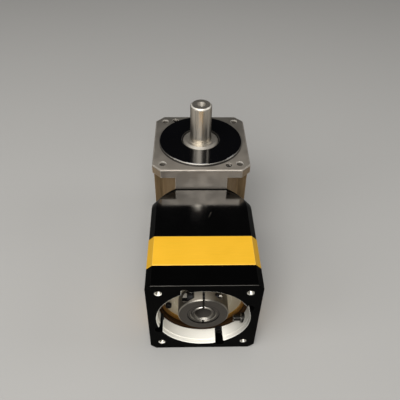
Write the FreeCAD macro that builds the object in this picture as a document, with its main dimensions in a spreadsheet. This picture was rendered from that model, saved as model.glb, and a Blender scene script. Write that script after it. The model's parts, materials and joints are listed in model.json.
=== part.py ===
import FreeCAD, Part
import math
import os
import re

import Sketcher

# Right-angle planetary gear reducer. The origin is the centre of the output flange's face, +Z runs
# along the output shaft and the motor side lies along -Y. Pieces of the input line are drawn about
# their own axis, with heights counted from the output axis towards the motor.

# Driving dimensions, in mm and degrees
SIZES = {
    # Output flange and steel housing
    "flange_side": 90.0,
    "flange_corner": 8.1,
    "flange_thick": 8.6,
    "mount_overhang": 10.0,
    "pilot_inset": 5.0,
    "body_inset": 2.0,
    "body_wall": 7.5,
    "edge_break": 0.8,
    "mount_hole_radius": 3.3,
    "jack_angle": 56.0,
    "jack_radius": 3.0,
    "jack_depth": 10.0,
    "jack_length": 6.0,
    "jack_inset": 0.8,
    "lug_width": 47.6,
    "pocket_fillet": 4.0,
    "axis_drop": 66.75,
    "bearing_lip": 3.0,
    "lip_radius": 24.0,
    "bottom_plate": 6.0,
    "bottom_register": 3.0,
    "bottom_screw_radius": 2.0,
    "bottom_screw_wall": 4.0,
    "bottom_screw_length": 12.0,
    "lower_floor": 7.0,
    "boss_wall": 5.5,
    # Output disc, seal and shaft
    "pilot_height": 3.0,
    "cover_hole_radius": 18.0,
    "cover_roof": 1.8,
    "seal_wall": 1.5,
    "seal_lip": 1.2,
    "seal_radius": 22.5,
    "seal_height": 7.0,
    "shaft_radius": 10.0,
    "shaft_top": 41.0,
    "end_chamfer": 1.5,
    "centre_hole_radius": 4.3,
    "centre_drill_radius": 2.0,
    "collar_radius": 17.0,
    "collar_height": 4.0,
    "collar_chamfer": 2.2,
    "collar_step_radius": 12.0,
    "collar_step_height": 0.8,
    "gear_seat_radius": 14.0,
    # Output bearings
    "upper_bearing_depth": 10.0,
    "upper_seat_radius": 15.0,
    "upper_bearing_radius": 27.5,
    "upper_bearing_width": 15.0,
    "lower_seat_radius": 12.5,
    "lower_bearing_radius": 23.5,
    "lower_bearing_width": 14.0,
    # Bevel pair
    "pinion_teeth": 16,
    "crown_teeth": 32,
    "bevel_share": 45.0,
    "pressure_angle": 20.0,
    "crown_hub_radius": 20.0,
    "spacer_radius": 18.0,
    "key_width": 8.0,
    "key_height": 7.0,
    "retaining_ring": 1.5,
    "ring_groove": 1.0,
    "ring_reach": 3.0,
    # Black block and pinion line
    "block_inset": 0.6,
    "block_chamfer": 4.6,
    "neck_length": 3.4,
    "nose_length": 21.6,
    "block_screw_edge": 11.25,
    "block_length": 59.8,
    "register_radius": 20.0,
    "register_length": 5.0,
    "block_bore_radius": 17.0,
    "block_screw_x": 16.5,
    "block_screw_radius": 3.0,
    "block_screw_grip": 10.0,
    "bearing_inset": 12.0,
    "pinion_seat_radius": 12.5,
    "pinion_bearing_radius": 26.0,
    "pinion_bearing_width": 15.0,
    "pinion_shoulder_radius": 15.5,
    "pinion_shoulder_length": 5.0,
    "carrier_room": 12.0,
    # Roller bearings
    "taper": 12.0,
    "roller_share": 0.22,
    "roller_length": 0.62,
    "rib_share": 0.055,
    "input_ball_radius": 1.8,
    "land_share": 0.55,
    "shield_thick": 0.6,
    # Planetary stage
    "tie_share": 63.2,
    "sun_teeth": 12,
    "planet_teeth": 18,
    "tooth_height": 0.85,
    "root_depth": 1.15,
    "carrier_hub_length": 4.0,
    "carrier_hub_radius": 15.0,
    "carrier_thick": 10.0,
    "carrier_clearance": 4.0,
    "carrier_bore_radius": 10.0,
    "carrier_recess": 5.0,
    "carrier_screw_radius": 4.0,
    "carrier_screw_length": 22.0,
    "carrier_washer": 1.6,
    "carrier_key_width": 6.0,
    "carrier_key_height": 6.0,
    "front_plate": 3.5,
    "plate_screw_radius": 2.0,
    "plate_screw_length": 10.0,
    "plate_screw_head": 2.2,
    "ring_overhang": 4.0,
    "ring_margin": 1.0,
    # Gold band, motor plate and input hub
    "frame_step": 0.5,
    "ring_chamfer": 4.8,
    "ring_length": 30.5,
    "spigot_height": 2.0,
    "spigot_wall": 3.3,
    "spigot_lip": 1.4,
    "ring_step": 1.8,
    "thin_wall": 0.7,
    "boss_clearance": 2.5,
    "input_cover_flange": 5.5,
    "input_cover_lip": 1.0,
    "input_cover_lip_radius": 19.2,
    "cover_screw_angle": 15.0,
    "cover_screw_radius": 1.5,
    "cover_screw_length": 9.0,
    "input_seat_radius": 15.0,
    "input_bearing_radius": 21.0,
    "input_bearing_width": 7.0,
    "input_bearing_set": 0.3,
    "plate_gap": 1.0,
    "adapter_chamfer": 4.6,
    "adapter_length": 20.0,
    "opening_depth": 14.3,
    "pilot_step": 0.5,
    "fine_chamfer": 0.45,
    "hole_chamfer": 0.8,
    "pilot_bore_depth": 3.8,
    "motor_circle": 100.0,
    "motor_hole_radius": 2.5,
    "motor_hole_depth": 16.0,
    "tie_circle": 79.0,
    "tie_angle": 22.5,
    "tie_radius": 2.0,
    "tie_grip": 12.0,
    "tie_counterbore": 4.0,
    "access_radius": 4.6,
    "plug_stem_radius": 2.6,
    "plug_tip": 26.0,
    "plug_head": 32.5,
    "plug_inset": 1.0,
    "hub_inset": 4.3,
    "hub_stand": 2.0,
    "hub_radius": 20.75,
    "sleeve_radius": 13.0,
    "sleeve_shoulder_radius": 17.5,
    "sleeve_bore_radius": 10.0,
    "motor_shaft_radius": 7.0,
    "motor_shaft_reach": 25.0,
    "slit": 1.8,
    "clamp_screw_radius": 2.5,
    "clamp_screw_offset": 16.0,
    "clamp_head_seat": 8.5,
    "clamp_screw_length": 21.0,
    # Screw heads and sockets, as shares of the screw's radius or the head's height
    "head_share": 1.72,
    "socket_share": 0.95,
    "socket_depth": 0.6,
    # Clearances
    "seat_gap": 0.02,
    "running_gap": 0.04,
    "race_gap": 0.06,
    "axial_gap": 0.5,
    "screw_gap": 0.3,
    "backlash": 0.1,
}

# Sizes that follow from the ones above
FOLLOWERS = {
    "mount_circle": "flange_side + mount_overhang",
    "jack_circle": "flange_side",
    "pilot_radius": "flange_side / 2 - pilot_inset",
    "body_radius": "flange_side / 2 - body_inset",
    "cavity_radius": "flange_side / 2 - body_inset - body_wall",
    "bottom_screw_circle": "2 * (cavity_radius + bottom_screw_wall)",
    "bevel_module": "flange_side / bevel_share",
    "bevel_face": "5.5 * bevel_module",
    "crown_face": "6.75 * bevel_module",
    "crown_back": "11.5 * bevel_module",
    "crown_rim": "2.25 * bevel_module",
    "tooth_trim": "1.5 * bevel_module",
    "crown_hub_height": "15.25 * bevel_module",
    "pinion_neck_radius": "6.65 * bevel_module",
    "frame_side": "flange_side + frame_step",
    "block_side": "frame_side - block_inset",
    "block_screw_y": "frame_side / 2 - block_screw_edge",
    "neck_radius": "sqrt(block_side ^ 2 + lug_width ^ 2) / 2",
    "corner_radius": "sqrt(block_side ^ 2 + (block_side - 2 * block_chamfer) ^ 2) / 2",
    "nose_drop": "corner_radius - neck_radius",
    "nose_round": "(nose_drop ^ 2 + nose_length ^ 2) / (2 * nose_drop)",
    "spigot_radius": "tie_circle / 2 - tie_radius - thin_wall",
    "ring_gear_radius": "spigot_radius - ring_step",
    "input_cover_radius": "spigot_radius - spigot_wall",
    "opening_radius": "tie_circle / 2 - tie_radius",
    "pilot_bore_radius": "opening_radius + pilot_step",
    "gear_module": "tie_circle / tie_share",
    "carrier_radius": "21.6 * gear_module",
    "cavity_bore_radius": "carrier_radius + carrier_clearance",
    "pin_radius": "4 * gear_module",
    "bush_radius": "5.2 * gear_module",
    "pillar_radius": "4 * gear_module",
    "pillar_circle": "32.8 * gear_module",
    "front_plate_radius": "20.8 * gear_module",
    "front_plate_hole": "9.2 * gear_module",
    "sun_neck_radius": "8 * gear_module",
    "carrier_recess_radius": "9.6 * gear_module",
    "carrier_washer_radius": "carrier_recess_radius - axial_gap",
    "web_radius": "21.6 * gear_module",
    "input_cover_boss": "web_radius - boss_clearance",
    "cover_screw_circle": "web_radius + input_cover_radius",
}

PLANETS = 3
PLATE_HOLES = 4
ROLLERS = 10
INPUT_BALLS = 8
FLANK_POINTS = 3
# Slack when an edge is picked by its place
TOUCH = 1e-6

# Places on the input line, from the output axis towards the motor
BLOCK_START = "flange_side / 2"
BLOCK_END = f"({BLOCK_START} + block_length)"
RING_END = f"({BLOCK_END} + ring_length)"
ADAPTER_END = f"({RING_END} + adapter_length)"
FRONT_BEARING = f"({BLOCK_START} + bearing_inset)"
FRONT_BEARING_END = f"({FRONT_BEARING} + pinion_bearing_width)"
STACK_END = f"({BLOCK_END} - carrier_room)"
REAR_BEARING = f"({STACK_END} - pinion_bearing_width)"
CARRIER_BACK = f"({STACK_END} + carrier_hub_length)"
CARRIER_FACE = f"({CARRIER_BACK} + carrier_thick)"
INPUT_BEARING_END = f"({RING_END} - input_bearing_set)"
INPUT_BEARING = f"({INPUT_BEARING_END} - input_bearing_width)"
PLATE_END = f"({INPUT_BEARING} - plate_gap)"
PLATE_START = f"({PLATE_END} - front_plate)"
PLANET_START = f"({CARRIER_FACE} + axial_gap)"
PLANET_END = f"({PLATE_START} - axial_gap)"
RING_GEAR_START = f"({BLOCK_END} - ring_overhang)"
RING_GEAR_END = f"({PLANET_END} + ring_margin)"
COVER_SEAT = f"({RING_END} - input_bearing_set - input_cover_flange)"
COVER_FACE = f"({RING_END} - input_bearing_set)"
OPENING_START = f"({ADAPTER_END} - opening_depth)"
HUB_FACE = f"({ADAPTER_END} - hub_inset)"
HUB_BACK = f"({RING_END} + hub_stand)"
HUB_MIDDLE = f"(({HUB_FACE} + {HUB_BACK}) / 2)"
SLEEVE_END = f"({HUB_FACE} - axial_gap)"
SHAFT_BORE_END = f"({ADAPTER_END} - motor_shaft_reach)"
RECESS_FLOOR = f"({CARRIER_FACE} - carrier_recess)"
PINION_SHAFT_END = f"({RECESS_FLOOR} - axial_gap)"

# Heights on the output axis, from the flange's face
BASE = "(-axis_drop - frame_side / 2)"
PLATE_TOP = f"({BASE} + bottom_plate)"
UPPER_TOP = "(-upper_bearing_depth)"
UPPER_END = f"({UPPER_TOP} - upper_bearing_width)"
CEILING = f"({UPPER_END} - bearing_lip)"
GEAR_TOP = "(-axis_drop + crown_hub_height)"
GEAR_FACE = "(-axis_drop + crown_face)"
LOWER_END = f"({BASE} + lower_floor)"
LOWER_TOP = f"({LOWER_END} + lower_bearing_width)"

# Sizes that follow from the gear teeth
PLANET_CIRCLE = "(gear_module * (sun_teeth + planet_teeth))"
BEVEL_REACH = "(bevel_module / 2 * sqrt(pinion_teeth ^ 2 + crown_teeth ^ 2))"
BEVEL_TOE = f"({BEVEL_REACH} - bevel_face)"

doc = FreeCAD.newDocument("reducer")
sheet = doc.addObject("Spreadsheet::Sheet", "Sizes")
nodes = []


def fill_sheet():
    """Writes every size into the sheet, with its name as alias: a number, or a rule for one that follows."""
    rules = {name: f"={rule}" for name, rule in FOLLOWERS.items()}
    for row, (name, size) in enumerate({**SIZES, **rules}.items(), start=1):
        sheet.set(f"A{row}", name)
        sheet.set(f"B{row}", str(size))
        sheet.setAlias(f"B{row}", name)
    doc.recompute()


def linked(text):
    """Puts the sheet's name before each size that an expression names."""
    names = {*SIZES, *FOLLOWERS}
    return re.sub(r"[a-z]\w*", lambda word: f"Sizes.{word[0]}" if word[0] in names else word[0], str(text))


def value(text):
    """The present value of an expression."""
    return float(sheet.evalExpression(linked(text)))


def bind(thing, **expressions):
    """Binds properties of an object to expressions in the sheet's sizes."""
    for name, text in expressions.items():
        thing.setExpression(name, linked(text))
    return thing


def node(thing, name):
    """Names a finished sub-part."""
    thing.Label = name
    nodes.append(thing)
    return thing


def stand(thing, x="0", y="0", z="0", turn=None):
    """Places an object in the part's frame."""
    thing.Placement = FreeCAD.Placement(FreeCAD.Vector(), turn or FreeCAD.Rotation())
    for axis, text in (("x", x), ("y", y), ("z", z)):
        thing.setExpression(f"Placement.Base.{axis}", linked(text))
    return thing


def on_input(thing, x="0", y="0", height="0", turn=None):
    """Places an object on the input line, its own Z pointing towards the motor."""
    lie = FreeCAD.Rotation(FreeCAD.Vector(1, 0, 0), 90)
    return stand(thing, x, f"-({height})", f"{y} - axis_drop", lie * turn if turn else lie)


def new_body(input_line=False):
    """An empty body, upright on the output axis or lying on the input line."""
    body = doc.addObject("PartDesign::Body", "Body")
    return on_input(body) if input_line else stand(body)


def new_sketch(body, role="XY_Plane", height="0"):
    """An empty sketch on one of a body's own planes, shifted along the plane's normal."""
    sketch = body.newObject("Sketcher::SketchObject", "Sketch")
    plane = next(item for item in body.Origin.OriginFeatures if item.Role == role)
    sketch.AttachmentSupport = (plane, [""])
    sketch.MapMode = "FlatFace"
    sketch.setExpression("AttachmentOffset.Base.z", linked(height))
    return sketch


def locate(sketch, geometry, point, place):
    """Dimensions one point of a sketch from its origin."""
    for kind, axis, text in zip(("DistanceX", "DistanceY"), (-2, -1), place):
        if text == "0":
            sketch.addConstraint(Sketcher.Constraint("PointOnObject", geometry, point, axis))
            continue
        index = sketch.addConstraint(Sketcher.Constraint(kind, -1, 1, geometry, point, value(text)))
        sketch.setExpression(f"Constraints[{index}]", linked(text))


def bulge(start, end, radius):
    """An arc that leaves its chord on the right of the way from start to end."""
    chord = end - start
    rise = radius - math.sqrt(radius ** 2 - chord.Length ** 2 / 4)
    right = FreeCAD.Vector(chord.y, -chord.x, 0).normalize()
    return Part.Arc(start, start + chord * 0.5 + right * rise, end)


def polygon(sketch, places, rounds=None):
    """A closed outline through places given as pairs of expressions; rounds gives the radius of a
    side that is an arc."""
    rounds = rounds or {}
    corners = [FreeCAD.Vector(value(x), value(y), 0) for x, y in places]
    first = sketch.GeometryCount
    count = len(corners)
    for side, (start, end) in enumerate(zip(corners, corners[1:] + corners[:1])):
        line = Part.LineSegment(start, end)
        if side in rounds:
            line = bulge(start, end, value(rounds[side]))
        sketch.addGeometry(line, False)
    for side in range(count):
        following = first + (side + 1) % count
        sketch.addConstraint(Sketcher.Constraint("Coincident", first + side, 2, following, 1))
    for side, place in enumerate(places):
        locate(sketch, first + side, 1, place)
    for side, radius in rounds.items():
        dimension = sketch.addConstraint(Sketcher.Constraint("Radius", first + side, value(radius)))
        sketch.setExpression(f"Constraints[{dimension}]", linked(radius))


def circles(sketch, places, radius):
    """Equal circles at places given as pairs of expressions."""
    for x, y in places:
        centre = FreeCAD.Vector(value(x), value(y), 0)
        index = sketch.addGeometry(Part.Circle(centre, FreeCAD.Vector(0, 0, 1), value(radius)), False)
        locate(sketch, index, 3, (x, y))
        dimension = sketch.addConstraint(Sketcher.Constraint("Radius", index, value(radius)))
        sketch.setExpression(f"Constraints[{dimension}]", linked(radius))


def pad(body, sketch, length):
    """Raises a sketch by a length along its normal."""
    feature = body.newObject("PartDesign::Pad", "Pad")
    feature.Profile = sketch
    bind(feature, Length=length)
    doc.recompute()
    return feature


def pocket(body, sketch, depth, forward=False):
    """Cuts a sketch into a body, against the sketch's normal unless forward is set."""
    before = body.Shape.Volume
    feature = body.newObject("PartDesign::Pocket", "Pocket")
    feature.Profile = sketch
    feature.Reversed = forward
    bind(feature, Length=depth)
    doc.recompute()
    if body.Shape.Volume >= before:
        raise RuntimeError(f"{sketch.Name} cuts nothing")


def spun(body, places, kind="PartDesign::Revolution", rounds=None):
    """Turns an outline of radius and height about the body's Z axis, adding or cutting."""
    before = body.Shape.Volume if body.Tip else 0
    sketch = new_sketch(body, "XZ_Plane")
    polygon(sketch, places, rounds)
    feature = body.newObject(kind, "Turned")
    feature.Profile = sketch
    feature.ReferenceAxis = (sketch, ["V_Axis"])
    feature.Angle = 360
    doc.recompute()
    if abs(body.Shape.Volume - before) < TOUCH:
        raise RuntimeError(f"{sketch.Name} turns nothing")


def bored(body, places, rounds=None):
    """Cuts a turned outline out of a body."""
    spun(body, places, "PartDesign::Groove", rounds)


def turned(name, places, input_line=False):
    """A sub-part that is one turned outline."""
    body = new_body(input_line)
    spun(body, places)
    return node(body, name)


def ring(name, inner, outer, start, end, input_line=False):
    """A plain turned ring."""
    return turned(name, [(inner, start), (outer, start), (outer, end), (inner, end)], input_line)


def dressed(body, kind, size, wanted):
    """Rounds or chamfers the edges of a body for which wanted(edge) holds."""
    tip = body.Tip
    names = [f"Edge{i}" for i, edge in enumerate(tip.Shape.Edges, start=1) if wanted(edge)]
    feature = body.newObject(f"PartDesign::{kind}", kind)
    feature.Base = (tip, names)
    bind(feature, **{"Radius" if kind == "Fillet" else "Size": size})
    doc.recompute()


def rectangle(wide, deep):
    """The corners of a rectangle about the origin."""
    return [(f"{x} * {wide} / 2", f"{y} * {deep} / 2") for x, y in ((1, 1), (-1, 1), (-1, -1), (1, -1))]


def octagon(side, corner):
    """The corners of a square with its corners cut."""
    half = f"({side}) / 2"
    short = f"({half} - {corner})"
    pairs = [(half, short), (short, half)]
    places = []
    for sign_x, sign_y in ((1, 1), (-1, 1), (-1, -1), (1, -1)):
        turn = pairs if sign_x * sign_y > 0 else pairs[::-1]
        places += [(f"{sign_x} * ({x})", f"{sign_y} * ({y})") for x, y in turn]
    return places


def circle_places(diameter, count, start="0"):
    """Places spread evenly round a circle."""
    angles = [f"({start} + {360 * i / count})" for i in range(count)]
    return [(f"({diameter}) / 2 * cos({a})", f"({diameter}) / 2 * sin({a})") for a in angles]


def cylinder(radius, length):
    """A cylinder standing on its own origin."""
    return bind(doc.addObject("Part::Cylinder", "Cylinder"), Radius=radius, Height=length)


def box(length, width, height):
    """A box with one corner on its own origin."""
    return bind(doc.addObject("Part::Box", "Box"), Length=length, Width=width, Height=height)


def fused(*things):
    """Several objects joined into one solid."""
    joined = doc.addObject("Part::MultiFuse", "Fuse")
    joined.Shapes = list(things)
    return joined


def cut(base, *tools):
    """An object with tools taken out of it."""
    for tool in tools:
        rest = doc.addObject("Part::Cut", "Cut")
        rest.Base = base
        rest.Tool = tool
        base = rest
    return base


def common(base, tool):
    """What two objects share."""
    shared = doc.addObject("Part::Common", "Common")
    shared.Base = base
    shared.Tool = tool
    return shared


def group(name, things):
    """Like solids that share one node."""
    gathered = doc.addObject("Part::Compound", "Group")
    gathered.Links = list(things)
    return node(gathered, name)


def screw(radius, length, socket=True, rise=None):
    """A cap screw whose head stands on its own origin, with the shank below."""
    rise = rise or f"2 * {radius}"
    head = cylinder(f"head_share * {radius}", rise)
    shank = stand(cylinder(radius, length), z=f"-({length})")
    body = fused(head, shank)
    if not socket:
        return body
    hexagon = doc.addObject("Part::Prism", "Socket")
    hexagon.Polygon = 6
    bind(hexagon, Circumradius=f"socket_share * {radius}", Height=f"socket_depth * ({rise})")
    return cut(body, stand(hexagon, z=f"(1 - socket_depth) * ({rise})"))


def pitch_point(teeth, mate, along, across):
    """A place on a bevel gear: along its pitch line from the apex, then across towards the tooth tip."""
    slope = f"atan({teeth} / {mate})"
    return (
        f"({along}) * sin({slope}) + ({across}) * cos({slope})",
        f"({along}) * cos({slope}) - ({across}) * sin({slope})",
    )


def involute_angle(base, radius):
    """Polar angle of a circle's involute where it reaches a radius."""
    roll = math.sqrt(max((radius / base) ** 2 - 1, 0))
    return roll - math.atan(roll)


def cone_involute_angle(base, cone):
    """Azimuth of the involute on a sphere, for a base cone's angle, where it reaches a wider cone."""
    roll = math.acos(min(math.cos(cone) / math.cos(base), 1)) / math.sin(base)
    return roll - math.atan2(math.tan(roll * math.sin(base)), math.sin(base))


def tooth_outline(teeth, start, root, tip, half_angle, spread):
    """A gear's outline: for each tooth, both flanks from root to tip, as points in a plane.

    half_angle gives the tooth's half angle at a place between root and tip, and spread its radius.
    """
    steps = [root + (tip - root) * i / (FLANK_POINTS - 1) for i in range(FLANK_POINTS)]
    flank = [(spread(step), half_angle(step)) for step in steps]
    points = []
    for tooth in range(teeth):
        middle = start + 2 * math.pi * tooth / teeth
        sides = [(r, middle - a) for r, a in flank] + [(r, middle + a) for r, a in reversed(flank)]
        points += [FreeCAD.Vector(r * math.cos(a), r * math.sin(a), 0) for r, a in sides]
    return points


def face_of(points):
    """A flat face inside a closed outline."""
    return Part.Face(Part.makePolygon(points + points[:1]))


def spur_outline(teeth, start, inner, outer, thinning):
    """The outline of a spur gear's teeth between two radii, thinner by the thinning on each flank."""
    pitch = value("gear_module") * teeth / 2
    base = pitch * math.cos(math.radians(value("pressure_angle")))
    at_pitch = math.pi / (2 * teeth) + involute_angle(base, pitch) - thinning / pitch
    return tooth_outline(
        teeth, start, inner, outer, lambda r: at_pitch - involute_angle(base, max(r, base)), lambda r: r
    )


def outer_teeth(teeth, start):
    """The outline of a sun or planet gear."""
    module = value("gear_module")
    pitch = module * teeth / 2
    root = pitch - module * value("root_depth")
    tip = pitch + module * value("tooth_height")
    return spur_outline(teeth, start, root, tip, value("backlash"))


def inner_teeth(teeth, start):
    """The outline of the spaces between a ring gear's teeth."""
    module = value("gear_module")
    pitch = module * teeth / 2
    tip = pitch - module * value("tooth_height")
    root = pitch + module * value("root_depth")
    return spur_outline(teeth, start, tip, root, -value("backlash"))


def raised(face, start, end):
    """A flat face moved to one height of the input line and raised to another."""
    face.translate(FreeCAD.Vector(0, 0, value(start)))
    return face.extrude(FreeCAD.Vector(0, 0, value(end) - value(start)))


def shaped(shape):
    """An object for a shape that the gear functions worked out."""
    thing = doc.addObject("Part::Feature", "Shape")
    thing.Shape = shape
    return thing


def bevel_teeth(teeth, mate, start, reach):
    """The cone of a straight bevel gear's teeth, from the common apex up to a height."""
    pitch = math.atan2(teeth, mate)
    base = math.asin(math.sin(pitch) * math.cos(math.radians(value("pressure_angle"))))
    radius = value("bevel_module") * teeth / 2
    distance = radius / math.sin(pitch)
    root = pitch - math.atan(value("bevel_module") * value("root_depth") / distance)
    tip = pitch + math.atan(value("bevel_module") * value("tooth_height") / distance)
    at_pitch = math.pi / (2 * teeth) + cone_involute_angle(base, pitch) - value("backlash") / radius
    points = tooth_outline(
        teeth,
        start,
        root,
        tip,
        lambda cone: at_pitch - cone_involute_angle(base, max(cone, base)),
        lambda cone: reach * math.tan(cone),
    )
    for point in points:
        point.z = reach
    apex = FreeCAD.Vector()
    sides = [Part.makePolygon([apex, a, b, apex]) for a, b in zip(points, points[1:] + points[:1])]
    faces = [Part.Face(side) for side in sides] + [face_of(points)]
    return Part.makeSolid(Part.makeShell(faces))


def make_output_housing():
    """Steel housing: square flange, four lugs round a cylinder, gear chamber and pinion window."""
    body = new_body()
    sketch = new_sketch(body, height="-flange_thick")
    polygon(sketch, octagon("flange_side", "flange_corner"))
    pad(body, sketch, "flange_thick")
    dressed(body, "Chamfer", "edge_break", lambda edge: edge.BoundBox.ZMin > -TOUCH)
    rise = f"-({PLATE_TOP}) - flange_thick"
    sketch = new_sketch(body, height=PLATE_TOP)
    circles(sketch, [("0", "0")], "body_radius")
    pad(body, sketch, rise)
    for wide, deep in (("flange_side", "lug_width"), ("lug_width", "flange_side")):
        sketch = new_sketch(body, height=PLATE_TOP)
        polygon(sketch, rectangle(wide, deep))
        pad(body, sketch, rise)
    corner = math.hypot(value("lug_width") / 2, value("flange_side") / 2)
    flange = value("flange_thick")

    def inside_corner(edge):
        span = edge.BoundBox
        upright = span.ZLength > flange and max(span.XLength, span.YLength) < TOUCH
        return upright and math.hypot(span.XMin, span.YMin) < corner - TOUCH

    dressed(body, "Fillet", "pocket_fillet", inside_corner)
    bearing_bore = "upper_bearing_radius + seat_gap"
    bored(body, [
        ("0", "0"), (bearing_bore, "0"), (bearing_bore, UPPER_END), ("lip_radius", UPPER_END),
        ("lip_radius", CEILING), ("cavity_radius", CEILING), ("cavity_radius", PLATE_TOP), ("0", PLATE_TOP),
    ])
    sketch = new_sketch(body)
    circles(sketch, circle_places("mount_circle", PLATE_HOLES, "45"), "mount_hole_radius")
    pocket(body, sketch, "flange_thick")
    sketch = new_sketch(body)
    circles(sketch, circle_places("jack_circle", 2, "-jack_angle"), "jack_radius + seat_gap")
    pocket(body, sketch, "jack_depth")
    sketch = new_sketch(body, height=PLATE_TOP)
    circles(sketch, circle_places("bottom_screw_circle", PLATE_HOLES), "bottom_screw_radius + seat_gap")
    pocket(body, sketch, "bottom_screw_length", forward=True)
    sketch = new_sketch(body, "XZ_Plane", BLOCK_START)
    circles(sketch, [("0", "-axis_drop")], "register_radius + seat_gap")
    pocket(body, sketch, BLOCK_START)
    sketch = new_sketch(body, "XZ_Plane", BLOCK_START)
    circles(sketch, block_screw_places("-axis_drop"), "block_screw_radius + seat_gap")
    pocket(body, sketch, "block_screw_grip")
    node(body, "output_housing")


def block_screw_places(middle="0"):
    """Places of the screws between the black block and the steel housing."""
    return [(f"{x} * block_screw_x", f"{middle} + {y} * block_screw_y") for x in (1, -1) for y in (1, -1)]


def make_jack_screws():
    """Two set screws in the flange, each with a hexagon socket."""
    screws = []
    for x, y in circle_places("jack_circle", 2, "-jack_angle"):
        bolt = stand(cylinder("jack_radius", "jack_length"), x, y, "-jack_inset - jack_length")
        hexagon = doc.addObject("Part::Prism", "Socket")
        hexagon.Polygon = 6
        bind(hexagon, Circumradius="socket_depth * jack_radius", Height="jack_length / 2")
        screws.append(cut(bolt, stand(hexagon, x, y, "-jack_inset - jack_length / 2")))
    group("jack_screws", screws)


def make_output_cover():
    """Flanged disc that centres the driven machine and holds the seal and the upper bearing."""
    top = "pilot_height"
    roof = f"({top} - cover_roof)"
    spigot = "upper_bearing_radius"
    body = new_body()
    spun(body, [
        ("cover_hole_radius", roof), ("cover_hole_radius", top), ("pilot_radius - edge_break", top),
        ("pilot_radius", f"{top} - edge_break"), ("pilot_radius", "0"), (spigot, "0"),
        (spigot, UPPER_TOP), ("seal_radius + seat_gap", UPPER_TOP), ("seal_radius + seat_gap", roof),
    ])
    node(body, "output_cover")
    lip = "collar_radius + running_gap"
    flat = f"({roof} - seal_height)"
    wall = "seal_radius - seal_wall"
    web = f"{roof} - seal_wall"
    turned("output_seal", [
        (lip, f"{flat} + seal_height / 3"), ("collar_radius + seal_wall", roof), ("seal_radius", roof),
        ("seal_radius", flat), (wall, flat), (wall, web), ("collar_radius + 2 * seal_lip", web),
        ("collar_radius + seal_lip", flat), (lip, flat),
    ])


def key_slot(seat, width, height, start, end, side=1):
    """A box the size of a key and its clearance, half sunk in a shaft, on the shaft's +Y or -Y side."""
    slot = box(f"{width} + 2 * seat_gap", f"{height} + 2 * seat_gap", f"({end}) - ({start})")
    return slot, (f"-{width} / 2 - seat_gap", f"{side} * {seat} - {height} / 2 - seat_gap", start)


def key_piece(seat, width, height, start, end, side=1):
    """The key that lies in such a slot."""
    key = box(width, height, f"({end}) - ({start}) - 2 * axial_gap")
    return key, (f"-{width} / 2", f"{side} * {seat} - {height} / 2", f"{start} + axial_gap")


def make_output_shaft():
    """Stepped output shaft with a centre hole, seal collar, bearing seats, key slot and ring groove."""
    tip = "shaft_top"
    step = "(collar_height + collar_step_height)"
    drill = f"({tip} - 2 * centre_hole_radius)"
    groove_end = f"({GEAR_FACE} - retaining_ring - seat_gap)"
    groove = "gear_seat_radius - ring_groove"
    foot = f"({LOWER_END} + axial_gap)"
    body = new_body()
    spun(body, [
        ("0", f"{drill} - centre_drill_radius / 2"), ("centre_drill_radius", drill),
        ("centre_drill_radius", f"{tip} - sqrt(3) * (centre_hole_radius - centre_drill_radius)"),
        ("centre_hole_radius", tip), ("shaft_radius - end_chamfer", tip),
        ("shaft_radius", f"{tip} - end_chamfer"), ("shaft_radius", step), ("collar_step_radius", step),
        ("collar_step_radius", "collar_height"), ("collar_radius - collar_chamfer", "collar_height"),
        ("collar_radius", "collar_height - collar_chamfer"), ("collar_radius", UPPER_TOP),
        ("upper_seat_radius", UPPER_TOP), ("upper_seat_radius", UPPER_END),
        ("gear_seat_radius", UPPER_END), ("gear_seat_radius", GEAR_FACE), (groove, GEAR_FACE),
        (groove, groove_end), ("gear_seat_radius", groove_end), ("gear_seat_radius", LOWER_TOP),
        ("lower_seat_radius", LOWER_TOP), ("lower_seat_radius", f"{foot} + end_chamfer"),
        ("lower_seat_radius - end_chamfer", foot), ("0", foot),
    ])
    key = ("gear_seat_radius", "key_width", "key_height", GEAR_FACE, GEAR_TOP)
    slot, place = key_slot(*key)
    stand(slot, *place)
    node(cut(body, slot), "output_shaft")
    piece, place = key_piece(*key)
    node(stand(piece, *place), "gear_key")
    ring("gear_spacer", "gear_seat_radius + seat_gap", "spacer_radius", GEAR_TOP, UPPER_END)
    ring("gear_retaining_ring", f"{groove} + seat_gap", f"{groove} + ring_reach",
         f"{groove_end} + seat_gap", GEAR_FACE)
    return slot


def make_crown_gear(slot):
    """Crown bevel gear: a turned blank trimmed by the cone of its teeth, teeth downwards."""
    teeth = ("crown_teeth", "pinion_teeth")
    back = pitch_point(*teeth, BEVEL_REACH, "-crown_rim")
    outline = [
        ("gear_seat_radius + seat_gap", "crown_face"),
        pitch_point(*teeth, BEVEL_TOE, "-tooth_trim"), pitch_point(*teeth, BEVEL_TOE, "tooth_trim"),
        pitch_point(*teeth, BEVEL_REACH, "tooth_trim"), back, (back[0], "crown_back"),
        ("crown_hub_radius", "crown_back"), ("crown_hub_radius", "crown_hub_height"),
        ("gear_seat_radius + seat_gap", "crown_hub_height"),
    ]
    blank = new_body()
    spun(blank, outline)
    stand(blank, z="-axis_drop")
    count = round(value("crown_teeth"))
    half_pitch = math.pi / count
    towards_pinion = -math.pi / 2
    reach = value("crown_hub_height + bevel_face")
    cone = shaped(bevel_teeth(count, value("pinion_teeth"), towards_pinion + half_pitch, reach))
    gear = common(blank, stand(cone, z="-axis_drop"))
    node(cut(gear, slot), "crown_gear")


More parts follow.
